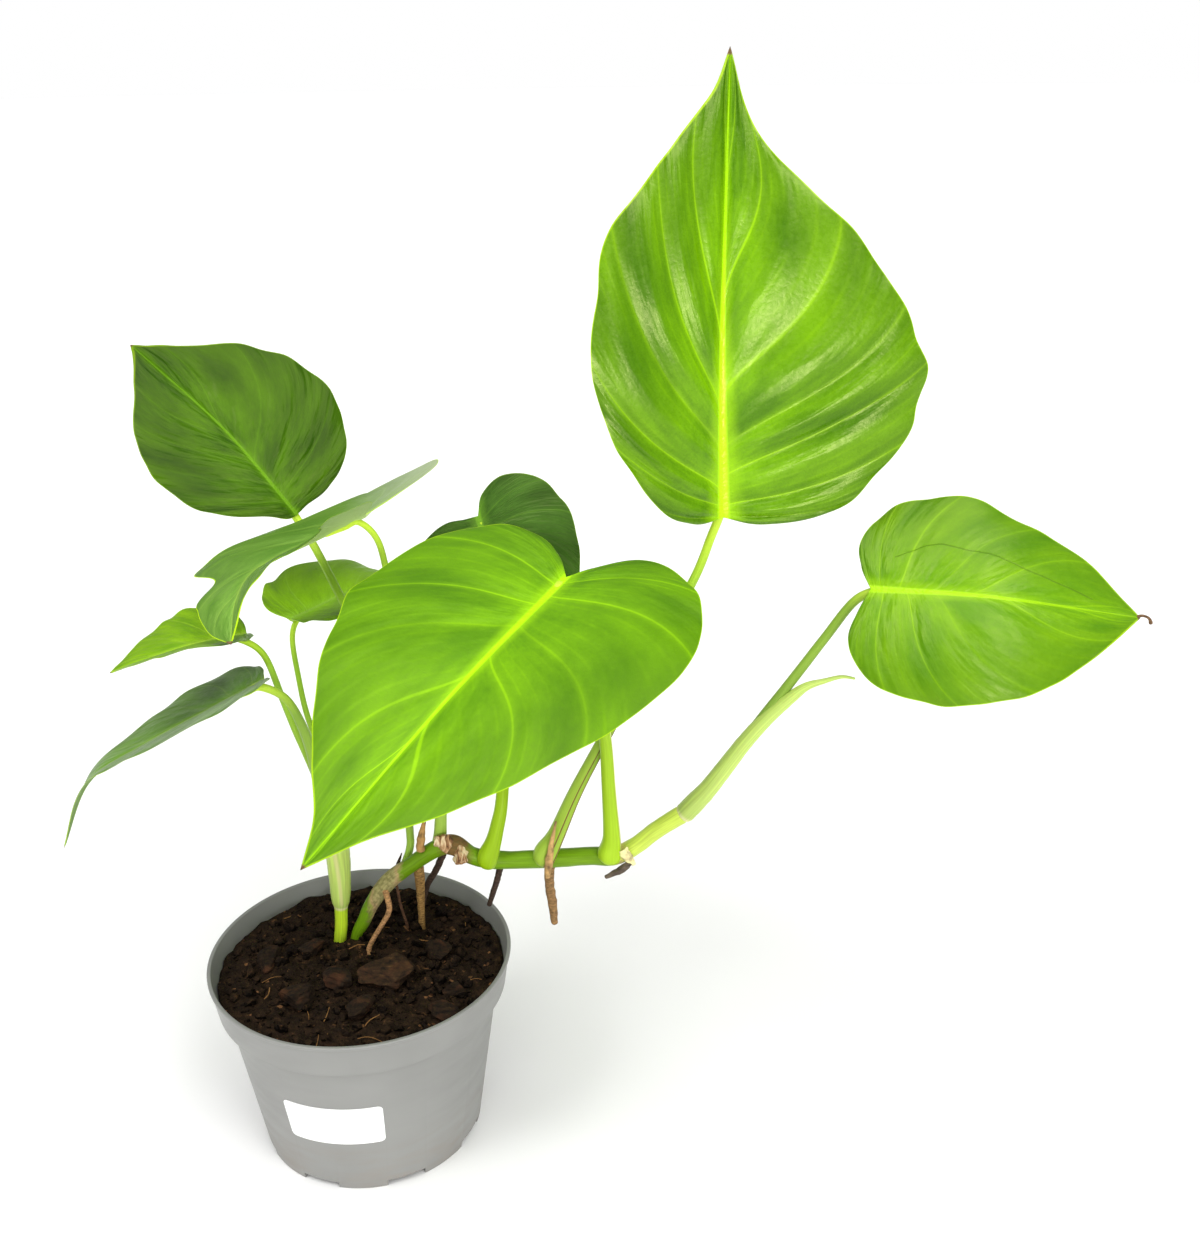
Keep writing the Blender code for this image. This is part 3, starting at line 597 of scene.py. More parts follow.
def ring_frames(rings):
    """A matrix for each ring that carries a unit circle to it, without twist."""
    centres = [Vector(ring[:3]) for ring in rings]
    after, before = centres[1:] + centres[-1:], centres[:1] + centres[:-1]
    tangents = [(there - here).normalized() for there, here in zip(after, before)]
    turn = Vector((0, 0, 1)).rotation_difference(tangents[0])
    frames = []
    for i, ring in enumerate(rings):
        if i:
            turn = tangents[i - 1].rotation_difference(tangents[i]) @ turn
        size = Matrix.Diagonal((ring[3], ring[3], ring[3], 1))
        frames.append(Matrix.Translation(centres[i]) @ turn.to_matrix().to_4x4() @ size)
    return frames


def sampled(stations, spacing):
    """Rings at an even spacing along a stem's smooth curve, closer together in its rounded ends."""
    fine = spline(stations, np.linspace(0, 1, 400))
    walked = np.concatenate(([0], np.cumsum(np.linalg.norm(np.diff(fine[:, :3], axis=0), axis=1))))
    length = walked[-1]
    turns = np.radians((12, 30, 50, 70, 90))
    start = stations[0][3] * (1 - np.cos(turns))
    end = stations[-1][3] * (1 - np.cos(turns))
    middle_length = length - end[-1] - start[-1]
    count = max(int(middle_length / spacing), 2)
    middle = start[-1] + middle_length * np.arange(1, count) / count
    places = np.concatenate((start, middle, length - end[::-1]))
    rings = np.column_stack([np.interp(places, walked, fine[:, k]) for k in range(4)])
    rings[: len(turns), 3] *= np.sin(turns)
    rings[-len(turns) :, 3] *= np.sin(turns)[::-1]
    return rings, places / length


def tube(stations, sides, spacing, section=None):
    """A closed stem through the stations. Its vertices keep how far along and round it they are."""
    rings, along = sampled(stations, spacing)
    shape = bmesh.new()
    bmesh.ops.create_circle(shape, cap_ends=True, segments=sides, radius=1)
    ring = list(shape.edges)
    for _ in rings[1:]:
        grown = bmesh.ops.extrude_edge_only(shape, edges=ring)["geom"]
        ring = [item for item in grown if isinstance(item, bmesh.types.BMEdge)]
        verts = [item for item in grown if isinstance(item, bmesh.types.BMVert)]
        bmesh.ops.translate(shape, vec=(0, 0, 1), verts=verts)
    bmesh.ops.contextual_create(shape, geom=ring)
    course = shape.verts.layers.float_vector.new("course")
    frames = ring_frames(rings)
    for vert in shape.verts:
        i = round(vert.co.z)
        turn = math.atan2(vert.co.y, vert.co.x)
        vert[course] = (along[i], turn / math.tau, 0)
        reach = section(along[i], turn) if section else 1
        vert.co = frames[i] @ Vector((vert.co.x * reach, vert.co.y * reach, 0))
    return shape


def add_chunk(shape, rng, place, half, subdivisions, roughness, flats=7):
    """Add a broken lump: a ball with flats knocked on it and a rough surface."""
    verts = bmesh.ops.create_icosphere(shape, subdivisions=subdivisions, radius=1)["verts"]
    knocks = []
    for _ in range(flats):
        direction = Vector([rng.gauss(0, 1) for _ in range(3)]).normalized()
        knocks.append((direction, rng.uniform(0.5, 0.8)))
    offset = Vector([rng.uniform(0, 50) for _ in range(3)])
    size = Matrix.Diagonal((*half, 1))
    for vert in verts:
        for direction, reach in knocks:
            over = vert.co.dot(direction) - reach
            if over > 0:
                vert.co -= direction * over
        vert.co *= 1 + roughness * noise.noise(2.3 * vert.co + offset)
        vert.co = place @ (size @ vert.co)
    return verts


# Materials

BLEND = {"data_type": "RGBA"}
MULTIPLIED = {"data_type": "RGBA", "blend_type": "MULTIPLY"}
SMOOTH = {"interpolation_type": "SMOOTHSTEP"}


def feed(tree, socket, value):
    """Give an input its constant or its link. A node stands for its first output in use."""
    if isinstance(value, bpy.types.Node):
        value = next(output for output in value.outputs if output.enabled)
    if isinstance(value, bpy.types.NodeSocket):
        tree.links.new(value, socket)
    else:
        socket.default_value = value


def add_node(tree, kind, inputs=(), stops=(), **settings):
    """Add a node, set its properties and feed its inputs, by name or in the order it shows them."""
    node = tree.nodes.new("ShaderNode" + kind)
    for name, value in settings.items():
        setattr(node, name, value)
    if isinstance(inputs, dict):
        sockets, values = [node.inputs[name] for name in inputs], inputs.values()
    else:
        sockets, values = [socket for socket in node.inputs if socket.enabled], inputs
    for socket, value in zip(sockets, values):
        feed(tree, socket, value)
    if stops:
        elements = node.color_ramp.elements
        elements[0].position, elements[0].color = stops[0]
        elements[1].position, elements[1].color = stops[-1]
        for position, colour in stops[1:-1]:
            elements.new(position).color = colour
    return node


def new_material(name, **values):
    """A material whose shader has the given constants, and the function that adds a node to it."""
    material = bpy.data.materials.new(name)
    material.use_nodes = True
    tree = material.node_tree
    for key, value in values.items():
        tree.nodes["Principled BSDF"].inputs[key.replace("_", " ")].default_value = value
    return material, partial(add_node, tree)


def finish_material(material, colour, relief, strength, distance, roughness=None):
    """Give the shader its colour, its roughness, and a bump in which relief is distance high."""
    tree = material.node_tree
    inputs = tree.nodes["Principled BSDF"].inputs
    feed(tree, inputs["Base Color"], colour)
    if roughness is not None:
        feed(tree, inputs["Roughness"], roughness)
    bump = add_node(tree, "Bump", {"Strength": strength, "Distance": distance, "Height": relief})
    feed(tree, inputs["Normal"], bump)
    return material


def shaded(colour, factor):
    """The colour, darker or lighter."""
    return (*(min(c * factor, 1) for c in colour[:3]), 1)


def shades(colour, *stops):
    """A ramp's stops in shades of one colour, from (position, factor) pairs."""
    return [(position, shaded(colour, factor)) for position, factor in stops]


def attribute_parts(add, name):
    """The three parts of a mesh's vector attribute."""
    return add("SeparateXYZ", [add("Attribute", attribute_name=name).outputs["Vector"]]).outputs


def streaks(add, along, turn, scale, detail):
    """Noise drawn out along a stem: scale is its spots along the whole and round it."""
    wound = add("CombineXYZ", [along, turn])
    stretched = add("Mapping", {"Vector": wound, "Scale": (*scale, 1)})
    return add("TexNoise", [stretched, 1.0, detail])


def away_from(add, turn, seam):
    """How far round the stem a point is from the seam, in turns."""
    away = add("Math", [turn, seam], operation="SUBTRACT")
    return add("Math", [away, 0.5], operation="PINGPONG")


def plastic_material(settings):
    """Injection-moulded polypropylene, dyed grey: an even satin skin with a very fine moulded grain,
    slightly glossier where hands have rubbed it, and a little dried soil low on the body."""
    material, add = new_material("moulded grey polypropylene", IOR=1.49)
    place = add("TexCoord").outputs["Object"]
    cloud = add("TexNoise", [place, 1 / 0.035, 3])
    smear = add("Mapping", {"Vector": place, "Scale": (1, 1, 4)})
    streak = add("TexNoise", [smear, 1 / 0.02, 5])
    tone = add("MapRange", [cloud, 0.3, 0.7])
    base = add("Mix", [tone, shaded(settings.plastic, 0.93), shaded(settings.plastic, 1.05)], **BLEND)
    # Dried soil on the lowest 30 mm
    height = add("SeparateXYZ", [place]).outputs["Z"]
    low = add("MapRange", [height, 0.03, 0.0, 0.0, 0.5])
    patchy = add("MapRange", [streak, 0.42, 0.7])
    dirt = add("Math", [low, patchy], operation="MULTIPLY")
    dusty = add("Mix", [dirt, base, linear("#8d8276")], **BLEND)
    rub = add("MapRange", [streak, 0.3, 0.7, 0.4, 0.52])
    # Moulded grain is about 0.05 mm; 0.4 mm is the finest that shows.
    grain = add("TexNoise", [place, 1 / 0.0004, 2])
    return finish_material(material, dusty, grain, 0.12, 0.0001, rub)


def paper_material(settings):
    """Coated label paper: bright white with a soft sheen and a faint cloudiness."""
    material, add = new_material("coated white label paper", IOR=1.5)
    place = add("TexCoord").outputs["Object"]
    cloud = add("TexNoise", [place, 1 / 0.004, 4])
    base = add("Mix", [cloud, shaded(settings.paper, 0.96), settings.paper], **BLEND)
    sheen = add("MapRange", [cloud, 0.0, 1.0, 0.42, 0.6])
    # Paper fibres of about 0.3 mm
    fibre = add("TexNoise", [place, 1 / 0.0003, 2])
    return finish_material(material, base, fibre, 0.1, 0.00005, sheen)


def mix_material(settings):
    """Moist peat and coir potting mix: nearly black-brown crumbs, dull, with paler dry bits, and painted
    shade on surfaces that face sideways or down.
    """
    material, add = new_material("moist peat potting mix", IOR=1.4, Specular_IOR_Level=0.15)
    place = add("TexCoord").outputs["Object"]
    # Clods of 4 mm, crumbs of 1 mm
    clod = add("TexNoise", [place, 1 / 0.004, 6, 0.65])
    crumb = add("TexVoronoi", [place, 1 / 0.0012])
    tones = shades(settings.mix, (0.3, 0.35), (0.5, 1), (0.63, 1.9))
    tone = add("ValToRGB", [clod], stops=[*tones, (0.72, linear("#5e4129"))])
    chance = add("SeparateColor", [crumb.outputs["Color"]])
    specks = add("MapRange", [chance, 0.985, 0.995])
    base = add("Mix", [specks, tone, linear("#6b4a30")], **BLEND)
    # Painted shade and light: surfaces that face sideways or down are darkened and tops are lightened, by the
    # direction of their normal.
    facing = add("SeparateXYZ", [add("NewGeometry").outputs["Normal"]]).outputs["Z"]
    dry = add("MapRange", [facing, 0.25, 0.95, 0.3, 1.25])
    base = add("Mix", [1.0, base, dry], **MULTIPLIED)
    wet = add("MapRange", [clod, 0.3, 0.7, 0.6, 0.95])
    rough = add("Math", [clod, crumb], operation="ADD")
    return finish_material(material, base, rough, 0.8, 0.0008, wet)


def bark_material(name, colour):
    """Composted conifer bark: flaky red-brown layers with dark cracks and paler broken faces."""
    material, add = new_material(name, IOR=1.45, Specular_IOR_Level=0.25, Roughness=0.85)
    place = add("TexCoord").outputs["Object"]
    # Layers about 0.8 mm thick, running mostly level
    level = add("Mapping", {"Vector": place, "Rotation": (0.25, 0.15, 0.4), "Scale": (1, 2.2, 5)})
    layers = add("TexNoise", [level, 1 / 0.004, 7, 0.6])
    tones = shades(colour, (0.32, 0.25), (0.48, 1), (0.62, 1.6), (0.75, 4))
    tone = add("ValToRGB", [layers], stops=tones)
    patch = add("TexNoise", [place, 1 / 0.006, 3])
    warm = add("MapRange", [patch, 0.5, 0.7, 0.0, 0.5])
    base = add("Mix", [warm, tone, linear("#5a3620")], **BLEND)
    return finish_material(material, base, layers, 0.9, 0.0006)


def fibre_material(name, colour):
    """Dry plant fibre: tan, dull, streaked along with darker bits."""
    material, add = new_material(name, IOR=1.45, Roughness=0.8, Specular_IOR_Level=0.3)
    patch = add("TexNoise", [add("TexCoord").outputs["Object"], 1 / 0.003, 4])
    base = add("ValToRGB", [patch], stops=shades(colour, (0.3, 0.35), (0.5, 1), (0.7, 1.5)))
    return finish_material(material, base, patch, 0.5, 0.0002)


def root_material(name, colour):
    """Air root bark: dull brown, wrinkled across and cracked along."""
    material, add = new_material(name, IOR=1.45, Roughness=0.8, Specular_IOR_Level=0.3)
    place = add("TexCoord").outputs["Object"]
    # Wrinkles about 0.6 mm apart
    wrinkled = add("Mapping", {"Vector": place, "Scale": (1, 1, 2.5)})
    wrinkle = add("TexNoise", [wrinkled, 1 / 0.0015, 5, 0.6])
    base = add("ValToRGB", [wrinkle], stops=shades(colour, (0.32, 0.4), (0.5, 1), (0.68, 1.6)))
    return finish_material(material, base, wrinkle, 0.8, 0.0004)


def scar_material(name):
    """Woody scar tissue: cork that dries in layers, cream on the ridges and dark in the folds."""
    material, add = new_material(name, IOR=1.45, Roughness=0.75, Specular_IOR_Level=0.3)
    place = add("TexCoord").outputs["Object"]
    # Layers about 1.5 mm thick that wander
    layered = add("Mapping", {"Vector": place, "Rotation": (0.3, 0.9, 0.2), "Scale": (3, 1, 1)})
    layer = add("TexNoise", {"Vector": layered, "Scale": 1 / 0.005, "Detail": 4, "Distortion": 0.8})
    tones = ((0.32, "#4a2f1c"), (0.42, "#8f6642"), (0.5, "#b8926a"), (0.6, "#e0caa2"))
    base = add("ValToRGB", [layer], stops=[(position, linear(tone)) for position, tone in tones])
    return finish_material(material, base, layer, 0.7, 0.0006)


def leaf_green(add, leaf, reach, cloud, mottle):
    """Deep and fresh green clouds that darken towards the margin, with a fine mottling."""
    spread = add("MapRange", [cloud, 0.36, 0.64])
    green = add("Mix", [spread, linear(leaf.deep), linear(leaf.fresh)], **BLEND)
    shade = add("MapRange", [reach, 0.2, 1.0, 1.06, 0.78])
    fleck = add("MapRange", [mottle, 0.35, 0.65, 0.97, 1.03])
    fleck = add("Math", [fleck, shade], operation="MULTIPLY")
    return add("Mix", [1.0, green, fleck], **MULTIPLIED)


def side_veins(add, leaf, phase, reach, cloud):
    """Strengths of the side veins, the glow beside them, and the finer veins between them."""
    # Distance to the nearest side vein, as a share of the distance between two
    near = add("Math", [phase, 0.5], operation="PINGPONG")
    width = add("MapRange", [reach, 0.0, 1.0, 0.036, 0.012])
    line = add("Math", [near, width], operation="DIVIDE")
    # Some side veins are bold and others faint.
    number = add("Math", [phase], operation="ROUND")
    chance = add("TexWhiteNoise", [number], noise_dimensions="1D")
    strength = leaf.vein_strength
    bold = add("MapRange", [chance, 0.0, 1.0, strength * 0.3, strength * 1.2])
    side = add("MapRange", [line, 1.3, 0.3, 0.0, bold], **SMOOTH)
    fading = add("MapRange", [reach, 0.3, 1.0, 1.0, 0.35])
    side = add("Math", [side, fading], operation="MULTIPLY")
    halo = add("MapRange", [line, 5.0, 0.5, 0.0, strength * 0.22], **SMOOTH)
    finer = add("Math", [phase, 5.0], operation="MULTIPLY")
    finer = add("Math", [finer, 0.5], operation="PINGPONG")
    fine = add("MapRange", [finer, 0.16, 0.02, 0.0, strength * 0.2], **SMOOTH)
    patchy = add("MapRange", [cloud, 0.4, 0.62])
    fine = add("Math", [fine, patchy], operation="MULTIPLY")
    return side, halo, fine


def midrib_lines(add, leaf, rib, along):
    """Strengths of the midrib and of the glow beside it, which grow faint towards the tip."""
    middle = add("MapRange", [rib, 1.25, 0.5], **SMOOTH)
    glow = add("MapRange", [rib, 4.0, 0.8, 0.0, 0.35], **SMOOTH)
    faint = add("MapRange", [along, 0.4, 1.0, 1.0, leaf.rib_end])
    middle = add("Math", [middle, faint], operation="MULTIPLY")
    glow = add("Math", [glow, faint], operation="MULTIPLY")
    return middle, glow


def speckled(add, colour, place):
    """The colour with specks of 0.3 mm, some pale and some brown, about one in a square of 3 cm."""
    cells = add("TexVoronoi", [place, 1 / 0.022])
    dot = add("MapRange", [cells, 0.022, 0.012])
    chosen = add("SeparateColor", [cells.outputs["Color"]]).outputs
    kept = add("Math", [chosen[0], 0.55], operation="GREATER_THAN")
    dot = add("Math", [dot, kept], operation="MULTIPLY")
    brown = add("Math", [chosen[1], 0.6], operation="GREATER_THAN")
    speck = add("Mix", [brown, linear("#d3e45a"), linear("#3d3a16")], **BLEND)
    return add("Mix", [dot, colour, speck], **BLEND)


def painted_crease_shade(add, cloud):
    """Strength of the painted shade along a crease, from the blade's signed distance to it, made to wander a
    little.
    """
    off = add("Attribute", attribute_name="crease").outputs["Fac"]
    off = add("Math", [cloud, 3.0, off], operation="MULTIPLY_ADD")
    off = add("Math", [off, 1.5], operation="SUBTRACT")
    off = add("Math", [off], operation="ABSOLUTE")
    return add("MapRange", [off, 0.32, 0.05, 0.0, 0.5])


def edged(add, leaf, settings, colour, edge, along):
    """The colour with a thin pale margin and a dried tip."""
    margin = settings.margin_width / MM
    rim = add("MapRange", [edge, 1.2 * margin, 0.5 * margin, 0.0, leaf.edge], **SMOOTH)
    colour = add("Mix", [rim, colour, settings.margin], **BLEND)
    tip = leaf.dry_tip / 100
    dead = add("MapRange", [along, 1.004 - tip, 1.009 - tip])
    return add("Mix", [dead, colour, settings.dry], **BLEND)


def leaf_material(key, leaf, settings):
    """Living leaf with a waxy cuticle: deep and fresh green clouds under a soft gloss, a bright
    midrib, pale side veins with finer ones between them, a thin yellow edge, a dull paler underside."""
    material, add = new_material(
        f"waxy leaf {key}",
        IOR=1.42,
        Specular_IOR_Level=leaf.gloss,
        Specular_Tint=(1.0, 1.0, 0.45, 1.0),
    )
    place = add("TexCoord").outputs["Object"]
    phase, out, edge = attribute_parts(add, "veins")
    rib, along, under = attribute_parts(add, "parts")
    reach = add("Math", [out], operation="ABSOLUTE")
    # Clouds that follow the veins, cell mottling of 1.5 mm
    flow = add("CombineXYZ", [phase, out, under])
    drawn = add("Mapping", {"Vector": flow, "Scale": (1.1, 1.6, 9)})
    cloud = add("TexNoise", [drawn, 1.0, 4, 0.6])
    mottle = add("TexNoise", [place, 1 / 0.0015, 3])

    colour = leaf_green(add, leaf, reach, cloud, mottle)
    side, halo, fine = side_veins(add, leaf, phase, reach, cloud)
    middle, glow = midrib_lines(add, leaf, rib, along)
    for strength in (halo, fine, side, glow, middle):
        colour = add("Mix", [strength, colour, linear(leaf.rib)], **BLEND)
    colour = speckled(add, colour, place)
    if leaf.crease:
        crease = painted_crease_shade(add, cloud)
        # Painted shade: a dark green line along the crease.
        colour = add("Mix", [crease, colour, linear("#3a5a08")], **BLEND)
    underside = add("Mix", [0.7, colour, linear(leaf.under)], **BLEND)
    colour = add("Mix", [under, colour, underside], **BLEND)
    # Painted sheen: the torn leaf's base lobes, from x = 0 to x = 36 mm, are paled towards grey-green in
    # place of a grazing reflection.
    if leaf.painted_sheen:
        x = add("SeparateXYZ", [place]).outputs["X"]
        painted_sheen_mask = add("MapRange", [x, 0.0, 0.036, 0.0, leaf.painted_sheen])
        colour = add("Mix", [painted_sheen_mask, colour, linear("#c8d4ac")], **BLEND)
    ragged = add("Math", [mottle, 0.012, along], operation="MULTIPLY_ADD")
    colour = edged(add, leaf, settings, colour, edge, ragged)

    gloss = add("MapRange", [mottle, 0.3, 0.7, leaf.roughness - 0.04, leaf.roughness + 0.06])
    dull = add("Math", [under, 0.18, gloss], operation="MULTIPLY_ADD")
    lines = add("Math", [fine, side], operation="ADD")
    lines = add("Math", [lines, -1.2, mottle], operation="MULTIPLY_ADD")
    if leaf.crease:
        lines = add("Math", [crease, -4.0, lines], operation="MULTIPLY_ADD")
    # Crinkles drawn out along the veins, about 3 mm across them
    long = add("Mapping", {"Vector": flow, "Scale": (5 * leaf.crinkle_scale, 4, 9)})
    crinkle = add("TexNoise", [long, 1.0, 2, 0.4])
    rise = add("Math", [crinkle, leaf.crinkle, lines], operation="MULTIPLY_ADD")
    return finish_material(material, colour, rise, 0.35, 0.00025, dull)


def stalk_material(key, stalk):
    """Fresh green leaf stalk: smooth and slightly waxy, finely streaked along, paler at its foot,
    with the sheath's dry edges as thin lines."""
    material, add = new_material(
        f"fresh stalk {key}", IOR=1.42, Roughness=0.42, Specular_Tint=(1.0, 1.0, 0.5, 1.0)
    )
    along, turn = attribute_parts(add, "course")[:2]
    low, high = linear(stalk.low), linear(stalk.high)
    tones = [(0.0, shaded(low, 1.1)), (0.25, low), (0.75, high), (0.96, linear("#c9e63e"))]
    length = add("ValToRGB", [along], stops=tones)
    # Streaks about 0.4 mm apart round the stalk
    streak = streaks(add, along, turn, (6, 30), 3)
    tone = add("MapRange", [streak, 0.3, 0.7, 0.9, 1.08])
    colour = add("Mix", [1.0, length, tone], **MULTIPLIED)
    if stalk.seam_reach:
        away = away_from(add, turn, stalk.seam / 360)
        near = add("Math", [away, 0.075], operation="SUBTRACT")
        near = add("Math", [near], operation="ABSOLUTE")
        edge = add("MapRange", [near, 0.022, 0.008], **SMOOTH)
        below = add("MapRange", [along, stalk.seam_reach + 0.05, stalk.seam_reach - 0.05])
        dry = add("Math", [edge, below], operation="MULTIPLY")
        colour = add("Mix", [dry, colour, linear(stalk.seam_colour)], **BLEND)
    return finish_material(material, colour, streak, 0.15, 0.0002)


def stem_material(settings):
    """Living green stem: waxy green internodes with fine streaks, a corky grey-green old part near the
    soil, a brown old node, and a tender yellow-green last internode."""
    material, add = new_material("creeping stem skin", IOR=1.42, Specular_Tint=(1.0, 1.0, 0.5, 1.0))
    place = add("TexCoord").outputs["Object"]
    along, turn = attribute_parts(add, "course")[:2]
    # The share of the way from x = -10 mm to x = 140 mm, with a ragged edge
    x = add("SeparateXYZ", [place]).outputs["X"]
    reach = add("MapRange", [x, -0.010, 0.140])
    ragged = add("TexNoise", [place, 1 / 0.003, 4])
    reach = add("Math", [ragged, 0.035, reach], operation="MULTIPLY_ADD")
    reach = add("Math", [reach, 0.0175], operation="SUBTRACT")
    green, tender, cork = settings.green, settings.tender, settings.cork
    brown, tan = linear("#7a5b36"), linear("#b99a70")
    skin = [(0.0, shaded(green, 0.9)), (0.072, green)]
    skin += [(0.088, tan), (0.1, cork), (0.15, cork), (0.163, tan)]
    skin += [(0.175, shaded(green, 0.9)), (0.275, green), (0.30, brown), (0.345, brown)]
    skin += [(0.37, shaded(green, 1.1)), (0.74, green)]
    skin += [(0.765, linear("#d9c979")), (0.785, tender), (1.0, shaded(tender, 0.9))]
    lengthwise = add("ValToRGB", [reach], stops=skin)
    streak = streaks(add, along, turn, (14, 34), 4)
    tone = add("MapRange", [streak, 0.3, 0.7, 0.8, 1.12])
    streaked = add("Mix", [1.0, lengthwise, tone], **MULTIPLIED)
    # The corky part and the old node are rough.
    steps = zip((0.06, 0.08, 0.145, 0.175, 0.275, 0.3, 0.345, 0.37), (0, 1, 1, 0, 0, 1, 1, 0))
    woody = add("ValToRGB", [reach], stops=[(position, (on, on, on, 1)) for position, on in steps])
    crack = add("TexNoise", [place, 1 / 0.0015, 5])
    flake = add("MapRange", [crack, 0.42, 0.62, 0.0, 0.55])
    flaking = add("Math", [flake, woody], operation="MULTIPLY")
    colour = add("Mix", [flaking, streaked, linear("#5c5433")], **BLEND)
    rough = add("MapRange", [woody, 0.0, 1.0, 0.4, 0.8])
    deep = add("Math", [flaking, 2.0, streak], operation="MULTIPLY_ADD")
    return finish_material(material, colour, deep, 0.5, 0.0003, rough)


def sheath_material(name, colour, foot, foot_share, seam):
    """Green leaf sheath: pale, satin, with fine parallel ribs along it, a ring scar on its foot,
    a dry cream edge that faces seam turns round, and painted shade that darkens its far side."""
    material, add = new_material(
        name, IOR=1.42, Roughness=0.42, Subsurface_Weight=0.1, Subsurface_Scale=0.001
    )
    along, turn = attribute_parts(add, "course")[:2]
    scar = [(foot_share - 0.03, foot), (foot_share - 0.012, linear("#e4e2a4"))]
    body = [(foot_share + 0.004, shaded(colour, 0.9)), (foot_share + 0.15, colour)]
    length = add("ValToRGB", [along], stops=scar + body)
    streak = streaks(add, along, turn, (3, 34), 4)
    tone = add("MapRange", [streak, 0.32, 0.68, 0.82, 1.15])
    streaked = add("Mix", [1.0, length, tone], **MULTIPLIED)
    drift = add("Math", [along, 0.12, turn], operation="MULTIPLY_ADD")
    away = away_from(add, drift, seam)
    # Painted light and shade: lighter on the seam's side and darker on the far side.
    painted_side_shade = add("MapRange", [away, 0.0, 0.45, 1.1, 0.82])
    streaked = add("Mix", [1.0, streaked, painted_side_shade], **MULTIPLIED)
    edge = add("MapRange", [away, 0.045, 0.01, 0.0, 0.8], **SMOOTH)
    above = add("MapRange", [along, foot_share, foot_share + 0.03])
    dry = add("Math", [edge, above], operation="MULTIPLY")
    colour = add("Mix", [dry, streaked, linear("#d9d794")], **BLEND)
    return finish_material(material, colour, streak, 0.3, 0.0002)


# Pot and label


def pot_profile():
    """The pot's outline as (radius, height) points, up the outside and down the inside."""
    foot_inside = FOOT_RADIUS - FOOT_RING_WIDTH
    return [
        (0, 0),
        (CENTRE_PAD_RADIUS, 0),
        (CENTRE_PAD_RADIUS + 1, FLOOR_UNDERSIDE),
        (foot_inside - 0.5, FLOOR_UNDERSIDE),
        (foot_inside, 0),
        (FOOT_RADIUS, 0),
        (BODY_TOP_RADIUS, BODY_TOP),
        (COLLAR_RADIUS, BODY_TOP),
        (RIM_RADIUS - 0.7, POT_HEIGHT - LIP_HEIGHT),
        (RIM_RADIUS, POT_HEIGHT - LIP_HEIGHT + 0.3),
        (RIM_RADIUS, POT_HEIGHT),
        (RIM_RADIUS - LIP_WIDTH, POT_HEIGHT),
        (COLLAR_RADIUS - POT_WALL, INNER_STEP),
        (BODY_TOP_RADIUS - POT_WALL, INNER_STEP - 0.5),
        (body_radius(FLOOR_TOP) - POT_WALL, FLOOR_TOP),
        (0, FLOOR_TOP),
    ]


def round_hoops(shape, radius):
    """Round every hoop where the turned wall changes direction."""
    level = [edge for edge in shape.edges if abs(edge.verts[0].co.z - edge.verts[1].co.z) < MERGE]
    corner = math.radians(HOOP_DEGREES)
    hoops = [edge for edge in level if edge.is_manifold and edge.calc_face_angle() > corner]
    bmesh.ops.bevel(
        shape, geom=hoops, offset=radius, affect="EDGES", segments=3,
        profile=0.5, material=-1, clamp_overlap=True,
    )


def pot_cutters():
    """Blocks through the foot ring, and the drain holes."""
    width = 2 * FOOT_RADIUS * math.sin(math.radians(NOTCH_DEGREES / 2))
    for i in range(NOTCHES):
        azimuth = FIRST_NOTCH_AZIMUTH + i * 360 / NOTCHES
        turn = Matrix.Rotation(math.radians(azimuth), 4, "Z")
        size = Matrix.Diagonal((width, 4 * FOOT_RING_WIDTH, 2 * NOTCH_HEIGHT, 1))
        place = Matrix.Translation(around(azimuth, FOOT_RADIUS, 0)) @ turn @ size
        shape = bmesh.new()
        bmesh.ops.create_cube(shape, size=1, matrix=place)
        yield new_object(f"notch_{i + 1}", shape, None)
    for i in range(DRAIN_HOLES):
        place = Matrix.Translation(around(i * 360 / DRAIN_HOLES, DRAIN_CIRCLE_RADIUS, FLOOR_TOP))
        shape = bmesh.new()
        bmesh.ops.create_cone(
            shape, cap_ends=True, segments=32, radius1=DRAIN_HOLE_RADIUS,
            radius2=DRAIN_HOLE_RADIUS, depth=2 * FLOOR_TOP, matrix=place,
        )
        yield new_object(f"drain_{i + 1}", shape, None)


def label_point(x, z, lift):
    """A point x along and z up the label, wrapped round the tapered body lift above its face."""
    turn = math.radians(LABEL_TURN_DEGREES)
    height = LABEL_MIDDLE_HEIGHT + x * math.sin(turn) + z * math.cos(turn)
    swing = (x * math.cos(turn) - z * math.sin(turn)) / body_radius(LABEL_MIDDLE_HEIGHT)
    return around(LABEL_AZIMUTH + math.degrees(swing), body_radius(height) + lift, height)


def label_shape():
    """A card with rounded corners, cut into narrow columns and wrapped round the pot."""
    shape = bmesh.new()
    bmesh.ops.create_grid(shape, x_segments=1, y_segments=1, size=0.5)
    bmesh.ops.scale(shape, vec=(LABEL_WIDTH, LABEL_HEIGHT, 1), verts=shape.verts)
    bmesh.ops.bevel(
        shape, geom=shape.verts[:], offset=LABEL_CORNER, affect="VERTICES", segments=6,
        profile=0.5, material=-1,
    )
    for i in range(1, LABEL_COLUMNS):
        x = LABEL_WIDTH * (i / LABEL_COLUMNS - 0.5)
        whole = shape.verts[:] + shape.edges[:] + shape.faces[:]
        bmesh.ops.bisect_plane(shape, geom=whole, dist=MERGE, plane_co=(x, 0, 0), plane_no=(1, 0, 0))
    card = bmesh.ops.extrude_face_region(shape, geom=shape.faces[:])["geom"]
    verts = [item for item in card if isinstance(item, bmesh.types.BMVert)]
    bmesh.ops.translate(shape, vec=(0, 0, LABEL_THICKNESS), verts=verts)
    for vert in shape.verts:
        vert.co = label_point(vert.co.x, vert.co.y, vert.co.z + LABEL_GAP)
    return shape


# Potting mix


